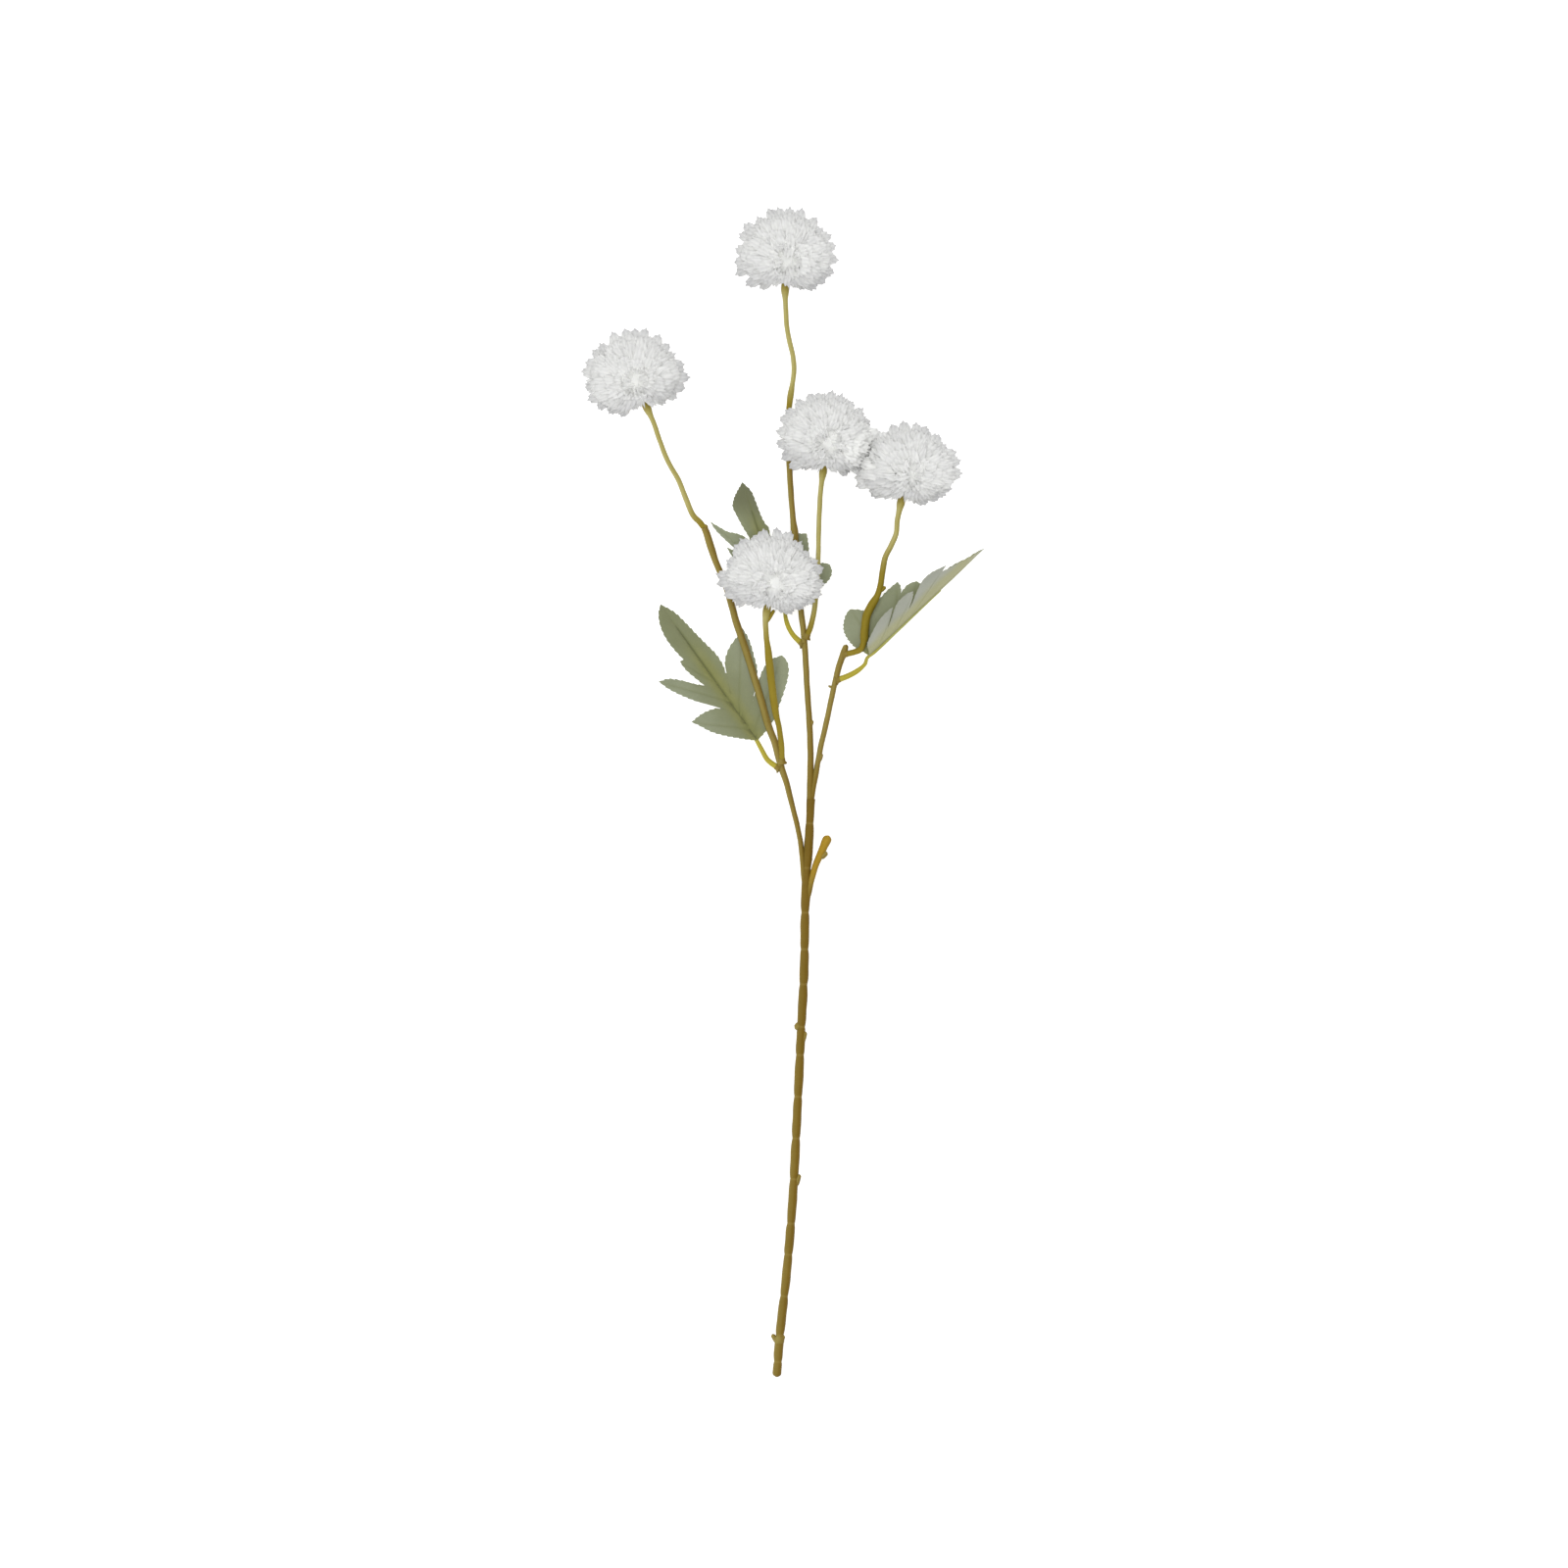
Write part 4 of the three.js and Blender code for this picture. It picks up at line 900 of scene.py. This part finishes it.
def leaf_stalk(number, design, material):
    """The stalk of a leaf, which runs on under the blade as its rib.

    With m the mitre of the fold and r the rib's radius, which halves along it, the rib's middle lies
    r + m (LEAF_THICKNESS / 2 + VEIN_DIP - RIB_SINK m) below the middle line of the leaf.
    """
    fixed = np.array(RIB_ROUTE)
    point, normal = fold(leaf_lift(design), fixed * LEAF_LENGTH)
    mitre = np.linalg.norm(normal, axis=1, keepdims=True)
    radius = RIB_RADIUS * (1 - 0.5 * smooth(fixed[0], fixed[-1], fixed))[:, None]
    drop = 0.5 * LEAF_THICKNESS + VEIN_DIP + radius / mitre - RIB_SINK * mitre
    route = [*sunk(design["stalk"]), *(point - drop * normal)]
    radii = radii_along(design.get("radii", LEAF_STALK_RADII))
    rings, s = stem_rings(route, radii, seed=40 + number, round_end=True)
    skin = Skin("share", "right")
    skin.tube(rings, share=s / s[-1])
    skin.piece(f"leaf_stalk_skin_{number}", material, "leaf_stalk", f"leaf_stalk_{number}")


def directions_round(axis):
    """Returns a function for the directions in a bloom, whose petals are ranged round its eye.

    With level = first cos(turn) + second sin(turn), where first is square to the axis and the eye
    and second to first and the eye, they are the way eye cos(angle) + level sin(angle), its level
    tangent second cos(turn) - first sin(turn), and the normal eye sin(angle) - level cos(angle).
    """
    eye = unit(EYE)
    first = unit(np.cross(axis, eye))
    second = np.cross(eye, first)

    def directions(angle, turn):
        """The way, the tangent and the normal at an angle from the eye and a turn, in radians."""
        level = np.cos(turn)[..., None] * first + np.sin(turn)[..., None] * second
        tangent = np.cos(turn)[..., None] * second - np.sin(turn)[..., None] * first
        sine, cosine = np.sin(angle)[..., None], np.cos(angle)[..., None]
        return cosine * eye + sine * level, tangent, sine * eye - cosine * level

    return directions


def petal_tips(random, axis, notch, directions):
    """The angle from the eye, the turn round it and the way of every petal's tip, ring by ring.

    A ring has a petal for each PETAL_WIDTH of its girth 2 pi BLOOM_SIDE sin(angle), RIM_PITCH times
    fewer on the rim. No petal stands over the stalk, past STALK_CLEARANCE from the axis, nor in the
    notch, which is the cone of half angle notch round the stalk's way, leant up by NOTCH_LEAN.
    """
    polar, around = [], []
    for ring in RING_ANGLES:
        pitch, stray = (RIM_PITCH, RIM_STRAY) if ring == RIM_ANGLE else (1.0, RING_STRAY)
        girth = 2 * np.pi * BLOOM_SIDE * math.sin(math.radians(ring))
        count = max(3, int(round(girth / (pitch * PETAL_WIDTH))))
        place_in_ring = np.arange(count) + random.uniform(-TURN_STRAY, TURN_STRAY, count)
        polar.append(ring + random.uniform(-stray, stray, count))
        around.append(2 * np.pi * (place_in_ring / count + random.random()))
    polar, around = np.concatenate(polar), np.concatenate(around)
    way = directions(np.radians(polar), around)[0]
    above_stalk = unit(NOTCH_LEAN * unit(EYE) - axis)
    kept = (degrees_from(axis, way) < STALK_CLEARANCE) & (degrees_from(above_stalk, way) >= notch)
    return polar[kept], around[kept], way[kept]


def petal_reach(random, design, axis, polar, way, rim, low):
    """How far from the bloom's middle each petal's tip is.

    It is REACH, times FULLNESS, which is lower by 0.06 of it on the low side off the rim, and higher
    by up to FULLNESS_STRAY, 1.6 times that on the rim, and by RIM_RISE there. It is also times
    1 + droop on the lower left and 1 - droop on the lower right, and 1 - its depth at the dent.
    """
    from_axis = degrees_from(axis, way)
    stray = FULLNESS_STRAY * (1 + 0.6 * rim) * random.random(len(polar))
    fullness = value_at(FULLNESS, polar) * (1 - 0.06 * low * (1 - rim)) + stray + RIM_RISE * rim
    leftness = smooth(*DROOP_SIDE, from_axis) * -(way @ unit(np.cross(axis, unit(EYE))))
    depth, heading, half_width = DENT
    dent = depth * bell(np.degrees(np.arctan2(way[:, 1], way[:, 0])), heading, half_width)
    return value_at(REACH, from_axis) * fullness * (1 + design["droop"] * leftness) * (1 - dent)


def press_plane():
    """A point of the plane that the pressed blooms share, and its normal, seen from the first.

    The point is midway between their middles, and the normal is the way from one to the other,
    leant up by PRESS_LEAN.
    """
    a, b = (np.array(BLOOMS[number - 1]["middle"]) for number in PRESSED)
    return (a + b) / 2, unit(unit(b - a) + PRESS_LEAN * UP)


def press(number, middle, way, reach, past_plane):
    """The reach of the petals of a pressed bloom, and how far each is held back, from 0 to 1.

    A petal that heads for the plane ends at past_plane beyond it. With f the share of its whole
    reach that lies further out than INTERLEAVED short of there, it is held back by 0 at f = -0.1
    and by 1 at f = 0.05.
    """
    on_plane, normal = press_plane()
    if number == PRESSED[1]:
        normal = -normal
    towards = (way @ normal)[:, None, None]
    heading = np.maximum(towards, GRAZING)
    room = (on_plane - middle) @ normal + past_plane
    limit = np.where(towards > GRAZING, room / heading, np.inf)
    return np.minimum(reach, limit), smooth(-0.1, 0.05, 1 - (room - INTERLEAVED) / heading / reach)


def petal_grid(random, reach, rim):
    """The shares u of its length and v of its half width at which a petal has corners.

    u is PETAL_ROWS, less the cut at a tooth's foot on the last row, and shorter by
    (0.09 + 0.06 rim) v^2 towards the tip, which rounds it. v goes evenly from -1 to 1, with a valley
    of the pleats at every second column.
    """
    columns = 2 * TEETH + 1
    shape = len(reach), columns
    v = np.linspace(-1, 1, columns)
    valley = 1.0 - np.arange(columns) % 2
    cut = TOOTH_DEPTH * valley * random.uniform(0.6, 1.25, shape)
    cut = cut + TOOTH_STRAY * (1 - valley) * random.random(shape)
    u = np.tile(np.array(PETAL_ROWS)[:, None], (len(reach), 1, columns))
    u[:, -1] -= cut / (reach[:, 0] - PETAL_ROOT)
    rounding = (0.09 + 0.06 * rim)[:, None, None]
    return u * (1 - rounding * v**2 * smooth(0.4, 1, u)), v, valley


def bloom(number, design, material):
    """A bloom: separate petals that spread from its middle, round a small core.

    A petal's middle line is middle + d(u) way(polar(u), around(u)), where u goes from 0 at its root
    to 1 at its tip, d grows evenly from PETAL_ROOT to the reach, polar = tip + bend (u^2.2 - 1) +
    curl (max(u - 0.7, 0) / 0.3)^2 and around = tip + lean (u^2 - 1). Across it, a point lies v w(u)
    along the level tangent and cup |v|^1.4 w(u) along the petal's own normal, both turned about the
    way by its twist. Its half width w(u) grows from a quarter to the whole by three quarters of its
    length. Its surface rises and falls from column to column by PLEAT, and its tip is cut into
    a tooth for every pleat. Its painted shade is u (1 + 0.25 rim + 0.17 low)(1 - 0.2 pressed), and
    higher by 0.13 (valley - 0.25) towards the tip: painted shade greys the tips, the rim, the low side
    and the pleats' valleys, and painted light whitens the depths and the seam of the pressed blooms.
    """
    random = np.random.default_rng(design["seed"])
    middle, axis = np.array(design["middle"], float), unit(design["axis"])
    directions = directions_round(axis)
    polar, around, way = petal_tips(random, axis, design["notch"], directions)
    count = len(polar)

    def drawn(low, high):
        """One random number a petal, shaped to go with the rows and columns of its grid."""
        return random.uniform(low, high, (count, 1, 1))

    rim = bell(polar, RIM_ANGLE, RIM_WIDTH)
    low = smooth(*LOW_SIDE, degrees_from(axis, way))
    reach = petal_reach(random, design, axis, polar, way, rim, low)[:, None, None]
    bend = value_at(BEND, polar)[:, None, None] + drawn(-BEND_STRAY, BEND_STRAY)
    curl = drawn(-CURL_STRAY, CURL_STRAY)
    lean = np.radians(drawn(-LEAN_STRAY, LEAN_STRAY))
    loose = smooth(6, 30, polar) * (1 - smooth(58, 84, polar))
    twist = np.radians(random.normal(0, 1, count) * (TWIST + LOOSE_TWIST * loose))[:, None, None]
    cup, width = drawn(*CUP), PETAL_WIDTH * drawn(1 - WIDTH_STRAY, 1 + WIDTH_STRAY)
    pressed = 0.0
    if number in PRESSED:
        reach, pressed = press(number, middle, way, reach, drawn(0.1, INTERLEAVED))

    u, v, valley = petal_grid(random, reach, rim)
    curled = curl * (np.maximum(u - 0.7, 0) / 0.3) ** 2
    angle = np.radians(polar[:, None, None] + bend * (u**2.2 - 1) + curled)
    way, level, normal = directions(angle, around[:, None, None] + lean * (u**2 - 1))
    turn = (twist * smooth(0.1, 0.9, u))[..., None]
    across = np.cos(turn) * level + np.sin(turn) * normal
    upward = np.cos(turn) * normal - np.sin(turn) * level
    half_width = 0.5 * width * (0.25 + 0.75 * smooth(0.0, 0.75, u))
    pleat = PLEAT * (1 - 2 * valley) * smooth(0.1, 0.7, u)
    centre = (
        middle
        + (PETAL_ROOT + (reach - PETAL_ROOT) * u)[..., None] * way
        + (half_width * v)[..., None] * across
        + (half_width * cup * np.abs(v) ** 1.4 + pleat)[..., None] * upward
    )
    half_thick = (0.5 * PETAL_THICKNESS * (1 - 0.5 * smooth(0.7, 1, u)))[..., None] * upward
    loop = both_faces(centre + half_thick, centre - half_thick, 2)
    loop[..., 2] = np.maximum(loop[..., 2], FLOOR_GAP)
    one = sheet_faces(*u.shape[1:])
    quads = one + np.prod(loop.shape[1:3]) * np.arange(count)[:, None, None]
    # Painted shade: greyer towards the tip, on the rim, on the low side and in the pleats' valleys; painted
    # light: whiter deep in the bloom and where the pressed blooms meet
    painted_shade = u * (1 + 0.25 * rim + 0.17 * low)[:, None, None] * (1 - 0.2 * pressed)
    painted_shade = painted_shade + 0.13 * (valley - 0.25) * smooth(0.3, 0.8, u)
    out = both_faces(painted_shade, painted_shade, 2)
    skin = Skin("out", "tint")
    skin.add(loop, quads, out=out, tint=np.broadcast_to(drawn(0, 1), out.shape))
    # Painted shade: the core is greyed to the petals' tone where it shows between them
    skin.tube(core_rings(middle, axis), out=0.9, tint=0.5)
    skin.piece(f"bloom_petals_{number}", material, "petal", f"bloom_{number}")


def core_rings(middle, axis):
    """A small ball in the middle of a bloom: middle + r(p) (axis cos p + level sin p).

    p goes from 3 to 177 degrees, and from 1.7 to 2.8 radians the radius r falls from CORE_RADIUS by
    CORE_TAPER of it.
    """
    first = unit(np.cross(axis, UP))
    second = np.cross(axis, first)
    polar = np.radians(np.linspace(3, 177, CORE_ROWS))[:, None, None]
    turn = (2 * np.pi * np.arange(CORE_SIDES) / CORE_SIDES)[:, None]
    level = np.cos(turn) * first + np.sin(turn) * second
    radius = CORE_RADIUS * (1 - CORE_TAPER * smooth(1.7, 2.8, polar))
    return middle + radius * (np.cos(polar) * axis + np.sin(polar) * level)


class Socket:
    """A node's output. An operator on it adds a Math node."""

    def __init__(self, finish, output):
        """Wraps an output of a node of a finish."""
        self.finish, self.output = finish, output

    def math(self, operation, *values):
        """The result of a Math node on numbers or sockets."""
        return self.finish.add("Math", {"operation": operation}, dict(enumerate(values)))

    def __add__(self, other):
        """self + other"""
        return self.math("ADD", self, other)

    def __rsub__(self, other):
        """other - self"""
        return self.math("SUBTRACT", other, self)

    def __mul__(self, other):
        """self * other"""
        return self.math("MULTIPLY", self, other)

    __radd__, __rmul__ = __add__, __mul__


class Finish:
    """A material in the making, which the methods add nodes to."""

    def __init__(self, name):
        """Starts with no nodes."""
        self.material = bpy.data.materials.new(name)
        self.material.use_nodes = True
        self.material.node_tree.nodes.clear()

    def add(self, kind, settings=None, values=None, output=0):
        """Adds a node of a kind, sets it, and gives its sockets their values or links."""
        tree = self.material.node_tree
        node = tree.nodes.new("ShaderNode" + kind)
        for name, setting in (settings or {}).items():
            setattr(node, name, setting)
        for name, value in (values or {}).items():
            if isinstance(value, Socket):
                tree.links.new(value.output, node.inputs[name])
            else:
                node.inputs[name].default_value = value
        return Socket(self, node.outputs[output] if node.outputs else None)

    def attributes(self, *names):
        """The attributes of a skin, each as a number."""
        return [self.add("Attribute", {"attribute_name": name}, output="Fac") for name in names]

    def noise(self, scale, detail=3.0, roughness=0.5):
        """Noise from 0 to 1 over the piece, with scale as its waves a metre."""
        where = self.add("TexCoord", output="Object")
        return self.add("TexNoise", None, {
            "Vector": where, "Scale": scale, "Detail": detail, "Roughness": roughness,
        })

    def between(self, share, low, high):
        """The colour at a share of the way between two colours or colour sockets."""
        colours = [c if isinstance(c, Socket) else (*c, 1) for c in (low, high)]
        settings = {"data_type": "RGBA", "clamp_factor": True}
        return self.add("Mix", settings, {0: share, 6: colours[0], 7: colours[1]}, output=2)

    def range(self, value, low, high):
        """A value's share of the way from low to high, held between 0 and 1."""
        return self.add("MapRange", {"clamp": True}, {0: value, 1: low, 2: high})

    def bump(self, height, strength, distance):
        """The normal of a surface with a height over it, whose full rise is a distance in metres."""
        return self.add("Bump", None, {"Height": height, "Strength": strength, "Distance": distance})

    def finish(self, values):
        """Ends the material with one Principled shader."""
        shader = self.add("BsdfPrincipled", None, values)
        self.add("OutputMaterial", None, {"Surface": shader})
        return self.material

    def moulded(self, colour, grain, relief):
        """Ends it as a plastic whose grain roughens it and rises by a relief in metres."""
        return self.finish({
            "Base Color": colour,
            "Roughness": grain * 0.2 + 0.5,
            "Specular IOR Level": 0.13,
            "Normal": self.bump(grain, 0.3, relief),
        })


def petal_fabric():
    """White fabric with fine threads, thin enough to glow.

    Deep in the bloom it is creamy or plain by blotches. It goes to a grey, which is lighter or
    darker from petal to petal, as its painted shade rises from 0.7 to 1.25: the grey is painted shade
    on the tips, and the white kept deep in the bloom works against the shade between petals.
    """
    m = Finish("petal_fabric")
    out, tint = m.attributes("out", "tint")
    blotch = m.noise(260.0)
    threads = m.noise(3200.0, 2.0)
    deep = m.between(blotch, (0.97, 0.98, 0.93), (0.985, 0.985, 0.98))
    # Painted shade: the grey that the petals' tips, the rim and the low side go to
    grey = m.between(tint, (0.48, 0.48, 0.49), (0.54, 0.54, 0.54))
    return m.finish({
        "Base Color": m.between(m.range(out, 0.7, 1.25), deep, grey),
        "Roughness": threads * 0.2 + 0.62,
        "Sheen Weight": 0.25,
        "Sheen Roughness": 0.5,
        "Subsurface Weight": 0.2,
        "Subsurface Radius": (1.0, 1.0, 0.95),
        "Subsurface Scale": 0.001,
        "Specular IOR Level": 0.25,
        "Normal": m.bump(threads + blotch * 0.4, 0.25, 0.0001),
    })


def leaf_fabric():
    """Sage green fabric, in blotches, with fine fibres in its colour and relief.

    It is mixed towards a paler green by pale, a grey green by under, a dark green by the painted
    shade at the end of a leaf, a yellow green by band and a darker one by vein, in that order.
    """
    m = Finish("leaf_fabric")
    band, vein, under, pale, painted_tip_shade = m.attributes("band", "vein", "under", "pale", "painted_tip_shade")
    blotch = m.noise(90.0, 4.0)
    fibre = m.noise(1500.0, 2.0)
    sage = m.between(blotch, (0.20, 0.215, 0.105), (0.265, 0.285, 0.16))
    lobe = m.between(blotch, (0.25, 0.275, 0.17), (0.34, 0.37, 0.25))
    grey = m.between(blotch, (0.30, 0.315, 0.255), (0.40, 0.41, 0.345))
    body = m.between(under, m.between(pale, sage, lobe), grey)
    # Painted shade: darker green towards the end of a leaf
    body = m.between(painted_tip_shade * 0.75, body, (0.13, 0.135, 0.075))
    golden = m.between(blotch, (0.20, 0.215, 0.055), (0.30, 0.29, 0.10))
    golden = m.between(under, golden, (0.36, 0.35, 0.13))
    colour = m.between(band * 0.8, body, golden)
    colour = m.between(vein * 0.5, colour, (0.15, 0.165, 0.045))
    colour = m.between(fibre * 0.25, colour, (0.14, 0.15, 0.09))
    return m.finish({
        "Base Color": colour,
        "Roughness": fibre * 0.2 + 0.68,
        "Sheen Weight": 0.12,
        "Specular IOR Level": 0.2,
        "Normal": m.bump(fibre, 0.35, 0.0001),
    })


def stem_plastic():
    """Brown moulded plastic in blotches, with fine grain.

    It is mixed towards gold by its gold, and more so on the left as painted light, towards a darker
    brown where gold is below 0 and, as painted shade, on the right, towards orange by amber, and
    towards a pale line at each ring.
    """
    m = Finish("stem_plastic")
    ring, gold, amber, right = m.attributes("ring", "gold", "amber", "right")
    blotch = m.noise(55.0, 5.0, 0.6)
    grain = m.noise(700.0)
    dark_brown_and_painted_shade = (0.12, 0.065, 0.006)
    brown = m.between(blotch, (0.155, 0.089, 0.003), (0.24, 0.15, 0.014))
    golden = m.between(blotch, (0.27, 0.205, 0.04), (0.37, 0.30, 0.09))
    orange = m.between(blotch, (0.34, 0.20, 0.010), (0.45, 0.28, 0.025))
    # Painted light: more golden on the left of a stem
    left = 1 - m.range(right, 0.0, 0.65)
    colour = m.between(gold * 0.7 + left * (gold * 0.3 + 0.55), brown, golden)
    colour = m.between(m.range(gold, 0.0, -0.3) * 0.35, colour, dark_brown_and_painted_shade)
    colour = m.between(amber, colour, orange)
    # Painted shade: darker brown on the right of a stem
    colour = m.between(m.range(right, 0.55, 1.0) * 0.5, colour, dark_brown_and_painted_shade)
    colour = m.between(grain * 0.2, colour, (0.10, 0.06, 0.004))
    colour = m.between(ring * 0.22, colour, (0.45, 0.35, 0.11))
    return m.moulded(colour, grain, 0.00015)


def stalk_plastic():
    """Yellow-green moulded plastic, paler on the left as painted light, browner on the right as painted
    shade, and browner by its brown.
    """
    m = Finish("stalk_plastic")
    brown, right = m.attributes("brown", "right")
    blotch = m.noise(70.0, 4.0)
    grain = m.noise(800.0)
    top = m.between(blotch, (0.38, 0.33, 0.085), (0.50, 0.45, 0.17))
    foot = m.between(blotch, (0.24, 0.175, 0.008), (0.33, 0.25, 0.03))
    # Painted light: paler on the left of a stalk
    top = m.between((1 - m.range(right, 0.1, 0.6)) * 0.45, top, (0.60, 0.54, 0.26))
    colour = m.between(brown, top, foot)
    # Painted shade: browner on the right of a stalk
    colour = m.between(m.range(right, 0.45, 1.0) * 0.4, colour, (0.20, 0.15, 0.015))
    colour = m.between(grain * 0.2, colour, (0.17, 0.12, 0.01))
    return m.moulded(colour, grain, 0.00012)


def leaf_stalk_plastic():
    """Yellow-green moulded plastic, greener past half its length, and browner on the right as painted shade.
    """
    m = Finish("leaf_stalk_plastic")
    share, right = m.attributes("share", "right")
    blotch = m.noise(90.0, 4.0)
    grain = m.noise(900.0)
    foot = m.between(blotch, (0.38, 0.31, 0.025), (0.48, 0.42, 0.06))
    under = m.between(blotch, (0.32, 0.33, 0.09), (0.42, 0.42, 0.16))
    colour = m.between(m.range(share, 0.2, 0.5), foot, under)
    # Painted shade: browner on the right of a stalk
    colour = m.between(m.range(right, 0.45, 1.0) * 0.3, colour, (0.22, 0.18, 0.012))
    return m.moulded(colour, grain, 0.0001)


def floor():
    """A wide white square that glows a little, FLOOR_DROP below the part."""
    mesh = bpy.data.meshes.new("floor")
    square = np.array([[-1, -1], [1, -1], [1, 1], [-1, 1]]) * FLOOR_REACH
    corners = np.column_stack([square, np.full(4, -FLOOR_DROP)]) * MM
    mesh.from_pydata(corners.tolist(), [], [(0, 1, 2, 3)])
    mesh.materials.append(Finish("floor_white").finish({
        "Base Color": (0.86, 0.86, 0.86, 1),
        "Roughness": 0.9,
        "Specular IOR Level": 0.1,
        "Emission Color": (1, 1, 1, 1),
        "Emission Strength": 0.55,
    }))
    piece = bpy.data.objects.new("floor", mesh)
    bpy.context.scene.collection.objects.link(piece)


def studio():
    """Even light from all round, and a large soft lamp overhead that reaches between petals."""
    scene = bpy.context.scene
    world = bpy.data.worlds.new("studio")
    world.use_nodes = True
    background = world.node_tree.nodes["Background"]
    background.inputs["Color"].default_value = (1, 1, 1, 1)
    background.inputs["Strength"].default_value = SKY_STRENGTH
    scene.world = world
    light = bpy.data.lights.new("key", "AREA")
    light.shape, light.size, light.energy = "DISK", LAMP_WIDTH * MM, LAMP_WATTS
    lamp = bpy.data.objects.new("key", light)
    lamp.location = Vector(LAMP_AT) * MM
    lamp.rotation_euler = (Vector(LAMP_AIM) - Vector(LAMP_AT)).to_track_quat("-Z", "Y").to_euler()
    scene.collection.objects.link(lamp)
    scene.view_settings.view_transform = "Standard"


def camera():
    """Looks straight down on the photograph's middle.

    Its distance from the stem is PHOTO_WIDTH times the lens over the sensor, so that the frame is
    PHOTO_WIDTH wide there.
    """
    data = bpy.data.cameras.new("camera")
    data.lens, data.sensor_width = CAMERA_LENS, CAMERA_SENSOR
    data.clip_end = CAMERA_SIGHT * MM
    eye = bpy.data.objects.new("camera", data)
    distance = PHOTO_WIDTH * CAMERA_LENS / CAMERA_SENSOR
    eye.location = Vector(place(np.array(PHOTO_MIDDLE))) + Vector((0, 0, distance + STEM_HEIGHT)) * MM
    bpy.context.scene.collection.objects.link(eye)
    bpy.context.scene.camera = eye


camera()
studio()
floor()
main_stem(stem_plastic())
stalk_finish, leaf_stalk_finish = stalk_plastic(), leaf_stalk_plastic()
leaf_finish, petal_finish = leaf_fabric(), petal_fabric()
for number, design in enumerate(BLOOMS, 1):
    flower_stalk(number, design, stalk_finish)
    bloom(number, design, petal_finish)
for number, design in enumerate(LEAVES, 1):
    leaf(number, design, leaf_finish)
    leaf_stalk(number, design, leaf_stalk_finish)
